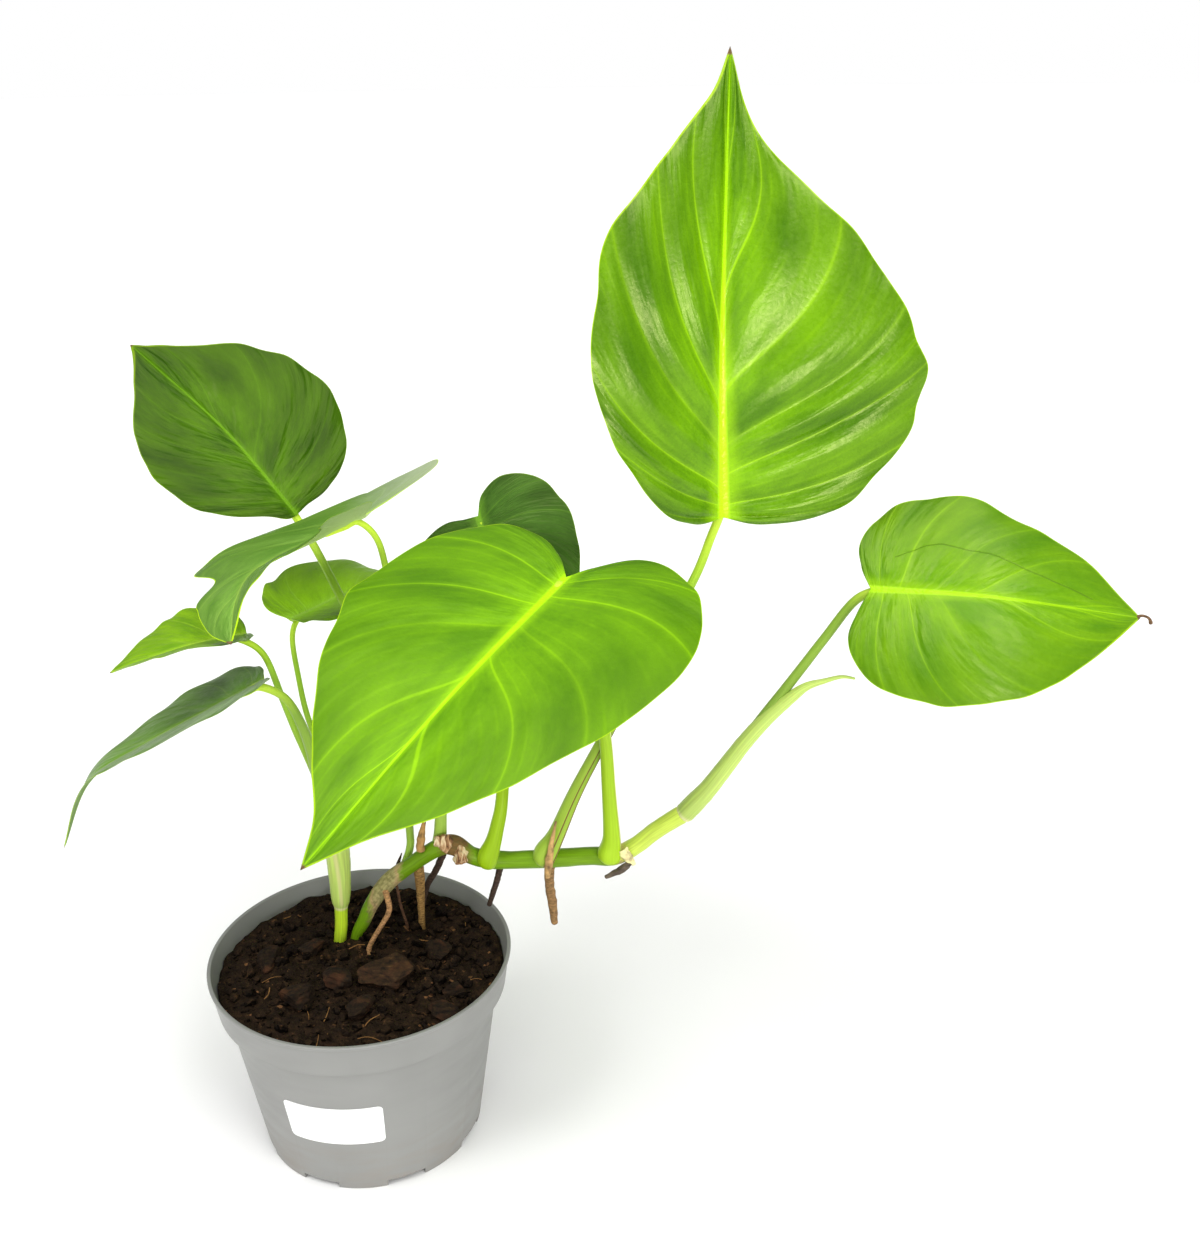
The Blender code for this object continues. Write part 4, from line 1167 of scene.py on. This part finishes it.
def soil_height(x, y):
    """Height of the mix, with the soft swells of the whole and its clods."""
    swell = SOIL_BUMP * noise.noise(Vector((x, y, SOIL_TOP)) / SOIL_BUMP_LENGTH)
    grit = GRIT * noise.noise(Vector((x, y, 3)) / GRIT_LENGTH)
    clods = 0
    for breadth, steepness, flat, sunk, seed in CLODS:
        near, second = noise.voronoi(Vector((x, y, seed)) / breadth)[0][:2]
        clods += steepness * min(second - near, flat) - sunk
    return SOIL_TOP + swell + clods + grit


def soil_edge():
    """Radius of the mix where its top meets the pot."""
    slope = (RIM_RADIUS - COLLAR_RADIUS) / COLLAR_HEIGHT
    return COLLAR_RADIUS - POT_WALL - SOIL_GAP + slope * (SOIL_TOP - INNER_STEP) - 0.5


def soil_shape():
    """The mix that fills the pot, with its rough top."""
    inside = POT_WALL + WALL_CLEARANCE
    floor_radius = body_radius(FLOOR_TOP) - inside
    edge = soil_edge()
    profile = [
        (0, FLOOR_TOP + 0.3),
        (floor_radius - 1.2, FLOOR_TOP + 0.3),
        (floor_radius, FLOOR_TOP + 1.5),
        (BODY_TOP_RADIUS - inside, INNER_STEP - 0.2),
        (COLLAR_RADIUS - inside, INNER_STEP + 0.3),
        (edge, SOIL_TOP - 1.2),
    ]
    profile += [(edge * (1 - i / SOIL_RINGS), SOIL_TOP) for i in range(SOIL_RINGS + 1)]
    shape = turned(profile, SOIL_SEGMENTS)
    for vert in shape.verts:
        if vert.co.z > SOIL_TOP - 0.1:
            vert.co.z = soil_height(vert.co.x, vert.co.y)
    return shape


def add_shape(shape, other):
    """Add another shape to this one and free it."""
    mesh = bpy.data.meshes.new("part")
    other.to_mesh(mesh)
    other.free()
    shape.from_mesh(mesh)
    bpy.data.meshes.remove(mesh)


def add_crumb(shape, rng, big):
    """Add a crumb, big or small, somewhere on the mix."""
    half = rng.uniform(1.4, 3.8) if big else rng.uniform(0.5, 1.3)
    radius = (soil_edge() - half - 0.8) * math.sqrt(rng.random())
    spot = around(rng.uniform(0, 360), radius, 0)
    spot.z = soil_height(spot.x, spot.y) + half * rng.uniform(-0.25, 0.3)
    tilt = Matrix.Rotation(rng.uniform(0, math.tau), 4, [rng.gauss(0, 1) for _ in range(3)])
    sizes = (half, half * rng.uniform(0.6, 0.95), half * rng.uniform(0.4, 0.8))
    add_chunk(shape, rng, Matrix.Translation(spot) @ tilt, sizes, 3 if big else 2, 0.25)


def crumb_shape(rng, count):
    """Loose crumbs all over the mix: a third of them big. Small batches keep this quick."""
    shape = bmesh.new()
    for start in range(0, count, CRUMB_BATCH):
        batch = bmesh.new()
        for i in range(start, min(start + CRUMB_BATCH, count)):
            add_crumb(batch, rng, big=i < count // 3)
        add_shape(shape, batch)
    return shape


def fibre_shape(rng, count):
    """Coir fibres lying on the mix, each a thin crooked thread."""
    shape = bmesh.new()
    for _ in range(count):
        length = rng.uniform(3, 10)
        radius = (soil_edge() - length / 2 - 3) * math.sqrt(rng.random())
        middle = around(rng.uniform(0, 360), radius, 0)
        heading = rng.uniform(0, math.tau)
        bend = rng.uniform(-0.5, 0.5)
        thick = rng.uniform(0.1, 0.22)
        spots = []
        for share in (-0.5, -0.25, 0.0, 0.25, 0.5):
            x = middle.x + length * share * math.cos(heading + bend * share)
            y = middle.y + length * share * math.sin(heading + bend * share)
            spots.append((x, y, soil_height(x, y)))
        top = max(z for x, y, z in spots)
        stations = [(x, y, (z + top) / 2 + 0.5, thick) for x, y, z in spots]
        add_shape(shape, tube(stations, sides=5, spacing=1.2))
    return shape


def bark_shape(rng, chip):
    """A broken piece of bark with flaky layers, sunk a little into the mix."""
    x, y, length, width, height, turn = chip
    shape = bmesh.new()
    rise = SOIL_TOP + height / 2 - height * CHIP_SINK
    place = Matrix.Translation((x, y, rise)) @ Matrix.Rotation(math.radians(turn), 4, "Z")
    half = (length / 2 * 1.08, width / 2 * 1.08, height / 2)
    for vert in add_chunk(shape, rng, place, half, 5, 0.12, flats=9):
        layer = noise.noise(Vector((vert.co.x / 6, vert.co.y / 6, vert.co.z / 1.1)))
        rough = noise.noise(vert.co / 1.4)
        outward = Vector((vert.co.x - x, vert.co.y - y, 0)).normalized()
        vert.co += outward * (0.55 * layer) + Vector((0, 0, 0.35 * rough))
    return shape


# Leaves


def midrib_length(leaf):
    """Length of the leaf's midrib."""
    points = spline(leaf.midrib, np.linspace(0, 1, 101))
    return np.linalg.norm(np.diff(points, axis=0), axis=1).sum()


def blade_frame(leaf, x):
    """Points on the midrib with the blade's left and up directions there."""
    clipped = np.clip(x / midrib_length(leaf), 0, 1)
    ahead = spline(leaf.midrib, np.minimum(clipped + STEP, 1))
    behind = spline(leaf.midrib, np.maximum(clipped - STEP, 0))
    along = unit(ahead - behind)
    point = spline(leaf.midrib, clipped) + along * np.minimum(x, 0)[..., None]
    share = clipped[..., None]
    across = np.array(leaf.across[0]) * (1 - share) + np.array(leaf.across[1]) * share
    left = unit(across - along * (across * along).sum(axis=-1, keepdims=True))
    return point, left, np.cross(along, left)


def on_blade(leaf, x, y, lift):
    """The points of the blade x along, y across and lift above its middle surface."""
    point, left, up = blade_frame(leaf, x)
    width = 2 * max(y for x, y in leaf.left + leaf.right)
    angle = np.radians(leaf.fold + leaf.left_fold * (y > 0) + leaf.curl * np.abs(y) / width)[:, None]
    side = np.sign(y)[:, None]
    outward = left * side * np.cos(angle) + up * np.sin(angle)
    normal = up * np.cos(angle) - left * side * np.sin(angle)
    return point + outward * np.abs(y)[:, None] + normal * lift[:, None]


def side_lift(leaf, thickness, under, row, out, phase, along, rib):
    """How far one side of a blade lies above its middle surface, and where it leaves the other."""
    near_vein = np.abs((phase + 0.5) % 1 - 0.5)
    middle = np.sin(np.pi * np.clip(out, 0, 1)) ** 0.6 * np.sin(np.pi * np.clip(row, 0, 1)) ** 0.5
    flat = 1 - np.exp(-((rib / 2.4) ** 2))
    cushion = np.sin(np.pi * near_vein) ** 2 * 0.7 + 0.3 * (1 - np.exp(-((near_vein / 0.12) ** 2)))
    lift = leaf.swell * cushion * middle * flat
    lift += leaf.ripple * out**3 * np.sin(2 * np.pi * phase + 1.1) * np.sin(np.pi * row)
    # The two sides meet at the edge, at the base and at the tip.
    apart = np.sqrt(np.clip(1 - out**12, 0, 1)) * np.clip(row / 0.08, 0, 1)
    apart = apart * np.clip((1 - row) / 0.01, 0, 1)
    if under:
        depth = thickness / 2 + 0.42 * leaf.rib_width * (1 - along) * np.exp(-(rib**2))
        depth += 0.25 * np.exp(-((near_vein / 0.04) ** 2)) * middle
        return lift - depth * apart, apart > 0
    height = thickness / 2 - 0.3 * np.exp(-((rib / 1.2) ** 2)) * (1 - along) ** 0.5
    height += 0.35 * np.exp(-((rib / 0.55) ** 2)) * (1 - along)
    return lift + height * apart, apart > 0


def mark_crease(layer, grid, crease, x, y):
    """Keep how far each vertex is from the crease, on its left or its right."""
    curve = spline(crease, np.linspace(0, 1, 61))
    within = (x > curve[0, 0]) & (x < curve[-1, 0])
    off = np.where(within, y - np.interp(x, curve[:, 0], curve[:, 1]), FAR_OFF)
    for vert, distance in zip(grid, off):
        vert[layer] = distance


def add_skin(shape, key, leaf, thickness, under):
    """Add the upper or under side of a blade. Its rows fan out from the midrib to the edge, as
    the side veins do; the blade swells between them, and the midrib stands out underneath."""
    grid = bmesh.ops.create_grid(shape, x_segments=leaf.rows, y_segments=leaf.columns, size=1)["verts"]
    length = midrib_length(leaf)
    row = np.array([(vert.co.x + 1) / 2 for vert in grid])
    column = np.array([vert.co.y for vert in grid])
    side = np.where(column > 0, 1, -1)
    out = np.abs(column) * (0.35 + 0.65 * np.abs(column))
    left_edge = spline([(0, 0), *leaf.left, (length, 0)], row)
    right_edge = spline([(0, 0), *leaf.right, (length, 0)], row)
    edge = np.where(side[:, None] > 0, left_edge, right_edge)
    # The spacing of the side veins varies a little, and differs on the two halves.
    start = np.where(side > 0, 0.27, 0.02)
    share = row - VEIN_CURVE * out**2 + VEIN_HOOK * np.exp(-out / 0.1)
    phase = leaf.veins * (share + 0.018 * np.sin(17 * share + 2 * side)) + start
    wander = np.array([noise.noise((3 * far, 5 * half, len(key))) for far, half in zip(row * 6, side)])
    scallop = leaf.scallop * np.cos(2 * np.pi * phase) * np.sin(np.pi * row)
    reach = out * (1 + (0.02 * wander + scallop) * out**4)
    x = (1 - out) * length * row**VEIN_SWEEP + out * edge[:, 0]
    y = reach * side * edge[:, 1]
    along = np.clip(x / length, 0, 1)
    half_rib = leaf.rib_width / 2 * (1 - along) ** 1.2 + 0.22
    rib = np.abs(y) / half_rib
    lift, parted = side_lift(leaf, thickness, under, row, out, phase, along, rib)
    points = on_blade(leaf, x, y, lift)
    veins = shape.verts.layers.float_vector["veins"]
    parts = shape.verts.layers.float_vector["parts"]
    margin = (1 - out) * np.abs(edge[:, 1])
    for i, vert in enumerate(grid):
        vert.co = points[i]
        vert[veins] = (phase[i], column[i], margin[i])
        vert[parts] = (rib[i], along[i], float(under and parted[i]))
    if leaf.crease:
        mark_crease(shape.verts.layers.float["crease"], grid, leaf.crease, x, y)


def blade_shape(key, leaf, thickness):
    """A thin closed blade: its two sides, merged where they meet round the edge."""
    shape = bmesh.new()
    shape.verts.layers.float_vector.new("veins")
    shape.verts.layers.float_vector.new("parts")
    if leaf.crease:
        shape.verts.layers.float.new("crease")
    add_skin(shape, key, leaf, thickness, under=False)
    add_skin(shape, key, leaf, thickness, under=True)
    bmesh.ops.remove_doubles(shape, verts=shape.verts, dist=MERGE)
    return shape


def seat(leaf, radius):
    """The last stations of a stalk: it runs into the underside of the midrib and thins out there."""
    places = np.array([SEAT_REACH, SEAT_REACH + 6, SEAT_REACH + 14])
    points, _, up = blade_frame(leaf, places)
    depths = (radius + 0.3, radius * 0.8 + 0.05, radius * 0.45 + 0.05)
    radii = (radius, radius * 0.8, radius * 0.45)
    stations = zip(points, up, depths, radii)
    return [(*(point - rise * depth), thin) for point, rise, depth, thin in stations]


def bumpy_section(depth, lengthwise, crosswise):
    """Cross-section of a bumpy stem, by how far along and round it a point is."""

    def section(along, turn):
        place = (lengthwise * along, crosswise * math.cos(turn), crosswise * math.sin(turn))
        return 1 + depth * noise.noise(place)

    return section


def stalk_section(stalk):
    """Cross-section of a stalk: a shallow channel between the sheath's edges, and a swollen foot."""

    def section(along, turn):
        away = abs((turn - math.radians(stalk.seam) + math.pi) % math.tau - math.pi)
        reach = 1.0 + 0.03 * noise.noise((8 * along, 2 * turn, 0))
        if stalk.seam_reach:
            fade = min(max((stalk.seam_reach + 0.1 - along) / 0.1, 0), 1)
            reach -= 0.16 * fade * math.exp(-((away / 0.35) ** 2))
            reach += 0.07 * fade * math.exp(-(((away - 0.55) / 0.2) ** 2))
        if stalk.heel:
            reach += 0.5 * math.exp(-(((along - 0.035) / 0.035) ** 2)) * max(-math.cos(turn), 0)
        return reach

    return section


def strip_shape(stations, curl=150, seed=0):
    """A dried flake: a strip along the stations, rolled round them, crumpled and frayed."""
    frames = ring_frames(spline(stations, np.linspace(0, 1, STRIP_STEPS + 1)))
    shape = bmesh.new()
    grid = bmesh.ops.create_grid(shape, x_segments=STRIP_STEPS, y_segments=10, size=1)["verts"]
    for vert in grid:
        i = round((vert.co.x + 1) * STRIP_STEPS / 2)
        turn = math.radians(curl) * vert.co.y
        crumple = 1 + 0.35 * noise.noise((i / 4, 2 * vert.co.y, seed)) + 0.25 * abs(vert.co.y)
        vert.co = frames[i] @ Vector((crumple * math.sin(turn), -crumple * math.cos(turn), 0))
    bmesh.ops.recalc_face_normals(shape, faces=shape.faces)
    bmesh.ops.solidify(shape, geom=shape.faces[:], thickness=0.22)
    return shape


# Operators


class MONSTERA_OT_pot(bpy.types.Operator):
    """Turn the nursery pot, with its notched foot and drain holes"""

    bl_idname = "monstera.pot"
    bl_label = "Pot"

    def execute(self, context):
        settings = context.scene.monstera.pot
        shape = turned(pot_profile(), POT_SEGMENTS)
        round_hoops(shape, settings.edge_radius / MM)
        pot = new_object("nursery_pot", shape, plastic_material(settings))
        carve(pot, list(pot_cutters()))
        plant(pot, "pot_plastic", "pot")
        return {"FINISHED"}


class MONSTERA_OT_label(bpy.types.Operator):
    """Wrap the blank label round the pot"""

    bl_idname = "monstera.label"
    bl_label = "Label"

    def execute(self, context):
        label = new_object("blank_label", label_shape(), paper_material(context.scene.monstera.pot))
        plant(label, "label_paper", "label")
        return {"FINISHED"}


class MONSTERA_OT_soil(bpy.types.Operator):
    """Fill the pot with potting mix and scatter crumbs and fibres on it"""

    bl_idname = "monstera.soil"
    bl_label = "Potting mix"

    def execute(self, context):
        settings = context.scene.monstera.soil
        rng = random.Random(settings.seed)
        material = mix_material(settings)
        plant(new_object("potting_mix", soil_shape(), material, sharp=180), "potting_mix", "soil")
        crumbs = crumb_shape(rng, settings.crumbs)
        plant(new_object("mix_crumbs", crumbs, material, sharp=30), "potting_mix")
        fibres = fibre_shape(rng, settings.fibres)
        dry = fibre_material("dry coir fibre", settings.fibre)
        plant(new_object("coir_fibres", fibres, dry), "potting_mix")
        return {"FINISHED"}


class MONSTERA_OT_bark(bpy.types.Operator):
    """Lay the bark chips on the potting mix"""

    bl_idname = "monstera.bark"
    bl_label = "Bark chips"

    def execute(self, context):
        settings = context.scene.monstera.soil
        rng = random.Random(settings.seed)
        fresh = bark_material("composted conifer bark", settings.bark)
        old = bark_material("old wet bark", shaded(settings.bark, 0.5))
        for i, chip in enumerate(BARK_CHIPS, start=1):
            material = fresh if i == 1 else old
            piece = new_object(f"bark_piece_{i}", bark_shape(rng, chip), material, sharp=35)
            plant(piece, "bark", f"bark_chip_{i}")
        return {"FINISHED"}


class MONSTERA_OT_leaves(bpy.types.Operator):
    """Shape the nine leaf blades"""

    bl_idname = "monstera.leaves"
    bl_label = "Leaves"

    def execute(self, context):
        settings = context.scene.monstera.leaf
        for key, leaf in LEAVES.items():
            shape = blade_shape(key, leaf, settings.thickness / MM)
            piece = new_object(f"leaf_{key}", shape, leaf_material(key, leaf, settings), sharp=60)
            plant(piece, f"leaf_{key}", f"blade_{key}")
        dried = root_material("dried leaf tip", settings.dry)
        plant(new_object("leaf_thread", tube(LEAF_THREAD, 12, 0.6), dried), "dry_sheath")
        return {"FINISHED"}


class MONSTERA_OT_stalks(bpy.types.Operator):
    """Draw the nine leaf stalks from their nodes to their leaves"""

    bl_idname = "monstera.stalks"
    bl_label = "Leaf stalks"

    def execute(self, context):
        for key, stalk in STALKS.items():
            path = stalk.stations + seat(LEAVES[key], stalk.stations[-1][3])
            shape = tube(path, sides=28, spacing=1.2, section=stalk_section(stalk))
            piece = new_object(f"leaf_stalk_{key}", shape, stalk_material(key, stalk))
            plant(piece, "stalk_green", f"stalk_{key}")
        return {"FINISHED"}


class MONSTERA_OT_stems(bpy.types.Operator):
    """Grow the creeping stem, the young shoot and the last sheath"""

    bl_idname = "monstera.stems"
    bl_label = "Stems and sheaths"

    def execute(self, context):
        settings = context.scene.monstera.stem
        skin = bumpy_section(0.035, 40, 2)
        stem = new_object("main_stem", tube(CREEPING_STEM, 36, 0.7, skin), stem_material(settings))
        plant(stem, "stem_green", "creeping_stem")
        rng = random.Random(KNOB_SEED)
        knobs = bmesh.new()
        for centre, half in NODE_KNOBS:
            add_chunk(knobs, rng, Matrix.Translation(centre), half, 4, 0.35, flats=8)
        scars = new_object("stem_scars", knobs, scar_material("woody leaf scar"))
        plant(scars, "dry_sheath")
        dead = root_material("dead root stump", settings.dark_root)
        plant(new_object("root_stump", tube(ROOT_STUMP, 12, 0.8), dead), "root_dark")
        young = sheath_material("young shoot", settings.sheath, linear("#bfdc30"), 0.47, -0.15)
        shoot = new_object("shoot", tube(YOUNG_SHOOT, 36, 1.0, skin), young)
        carve(shoot, [new_object("cup", tube(SHOOT_CUP, 24, 2.0), None)])
        plant(shoot, "sheath_green", "young_shoot")
        green_sheath = sheath_material("last sheath", settings.sheath, settings.tender, 0.04, 0.05)
        sheath = new_object("last_sheath", tube(SHEATH, 28, 1.0, skin), green_sheath)
        plant(sheath, "sheath_green", "sheath_right")
        return {"FINISHED"}


class MONSTERA_OT_roots(bpy.types.Operator):
    """Hang the air roots from the creeping stem"""

    bl_idname = "monstera.roots"
    bl_label = "Air roots"

    def execute(self, context):
        settings = context.scene.monstera.stem
        knotty = bumpy_section(0.16, 18, 1.5)
        for roots, slot in ((DARK_ROOTS, "root_dark"), (TAN_ROOTS, "root_tan")):
            for name, stations in roots.items():
                colour = linear(ROOT_COLOURS[name]) if name in ROOT_COLOURS else settings.dark_root
                material = root_material(f"air {name}", colour)
                piece = new_object(f"air_{name}", tube(stations, 16, 0.8, knotty), material)
                plant(piece, slot, name)
        return {"FINISHED"}


class MONSTERA_OT_dry_sheaths(bpy.types.Operator):
    """Curl the dried sheath remains at the nodes"""

    bl_idname = "monstera.dry_sheaths"
    bl_label = "Dry sheaths"

    def execute(self, context):
        for i, (name, stations) in enumerate(DRY_SHEATHS.items()):
            material = fibre_material(f"dried papery sheath {i + 1}", linear(FLAKE_COLOURS[i]))
            piece = new_object(f"flake_{i + 1}", strip_shape(stations, seed=i), material)
            plant(piece, "dry_sheath", name)
        material = fibre_material("sheath membrane", linear("#e0d29a"))
        plant(new_object("membrane", strip_shape(MEMBRANE, curl=110, seed=7), material), "dry_sheath")
        return {"FINISHED"}


class MONSTERA_OT_stage(bpy.types.Operator):
    """Set up the pale floor, the soft lights, the background and the camera"""

    bl_idname = "monstera.stage"
    bl_label = "Stage"

    def execute(self, context):
        scene = context.scene
        shape = bmesh.new()
        bmesh.ops.create_circle(shape, cap_ends=True, segments=64, radius=FLOOR_RADIUS)
        looks = {"Base_Color": linear("#fbfbfa"), "Roughness": 0.9, "Specular_IOR_Level": 0.1}
        new_object("floor", shape, new_material("pale floor", **looks)[0])

        world = bpy.data.worlds.new("studio")
        scene.world = world
        world.use_nodes = True
        tree = world.node_tree
        dim = tree.nodes["Background"]
        dim.inputs["Color"].default_value = (1, 1, 1, 1)
        dim.inputs["Strength"].default_value = AMBIENT
        bright = add_node(tree, "Background", [(1, 1, 1, 1), 1.0])
        seen = add_node(tree, "LightPath").outputs["Is Camera Ray"]
        both = add_node(tree, "MixShader", [seen, dim, bright])
        feed(tree, tree.nodes["World Output"].inputs["Surface"], both)

        for name, azimuth, height, breadth, strength in LIGHTS:
            light = bpy.data.lights.new(name, "SUN")
            light.energy, light.angle = strength, math.radians(breadth)
            lamp = bpy.data.objects.new(name, light)
            flat = math.cos(math.radians(height))
            towards = around(azimuth, flat, math.sin(math.radians(height)))
            lamp.rotation_euler = towards.to_track_quat("Z", "Y").to_euler()
            scene.collection.objects.link(lamp)

        camera = bpy.data.cameras.new("camera")
        camera.lens = CAMERA_LENS
        camera.sensor_width = 36
        camera.clip_start = 0.01
        viewer = bpy.data.objects.new("camera", camera)
        tilt = Matrix.Rotation(math.radians(90 - CAMERA_DOWN_DEGREES), 4, "X")
        roll = Matrix.Rotation(math.radians(CAMERA_ROLL_DEGREES), 4, "Z")
        viewer.matrix_world = Matrix.Translation(CAMERA_PLACE) @ tilt @ roll
        scene.collection.objects.link(viewer)
        scene.camera = viewer
        scene.view_settings.view_transform = "Standard"
        return {"FINISHED"}


class VIEW3D_PT_monstera(bpy.types.Panel):
    """Lists what the potted monstera is built from"""

    bl_label = "Potted monstera"
    bl_idname = "VIEW3D_PT_monstera"
    bl_space_type = "VIEW_3D"
    bl_region_type = "UI"
    bl_category = "Monstera"

    def draw(self, context):
        for operator in OPERATORS:
            self.layout.operator(operator.bl_idname)
        settings = context.scene.monstera
        for group in (settings.pot, settings.soil, settings.leaf, settings.stem):
            box = self.layout.box()
            for name in group.__annotations__:
                box.prop(group, name)


SETTINGS = (PotSettings, SoilSettings, LeafSettings, StemSettings, PlantSettings)
OPERATORS = (
    MONSTERA_OT_pot,
    MONSTERA_OT_label,
    MONSTERA_OT_soil,
    MONSTERA_OT_bark,
    MONSTERA_OT_leaves,
    MONSTERA_OT_stalks,
    MONSTERA_OT_stems,
    MONSTERA_OT_roots,
    MONSTERA_OT_dry_sheaths,
    MONSTERA_OT_stage,
)


def register():
    """Add the settings, the operators and the panel."""
    for item in (*SETTINGS, *OPERATORS, VIEW3D_PT_monstera):
        bpy.utils.register_class(item)
    bpy.types.Scene.monstera = PointerProperty(type=PlantSettings)


def unregister():
    """Take them out again."""
    del bpy.types.Scene.monstera
    for item in reversed((*SETTINGS, *OPERATORS, VIEW3D_PT_monstera)):
        bpy.utils.unregister_class(item)


def main():
    """Build every piece."""
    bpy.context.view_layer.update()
    register()
    for operator in OPERATORS:
        getattr(bpy.ops.monstera, operator.bl_idname.removeprefix("monstera."))()


if __name__ == "__main__":
    main()
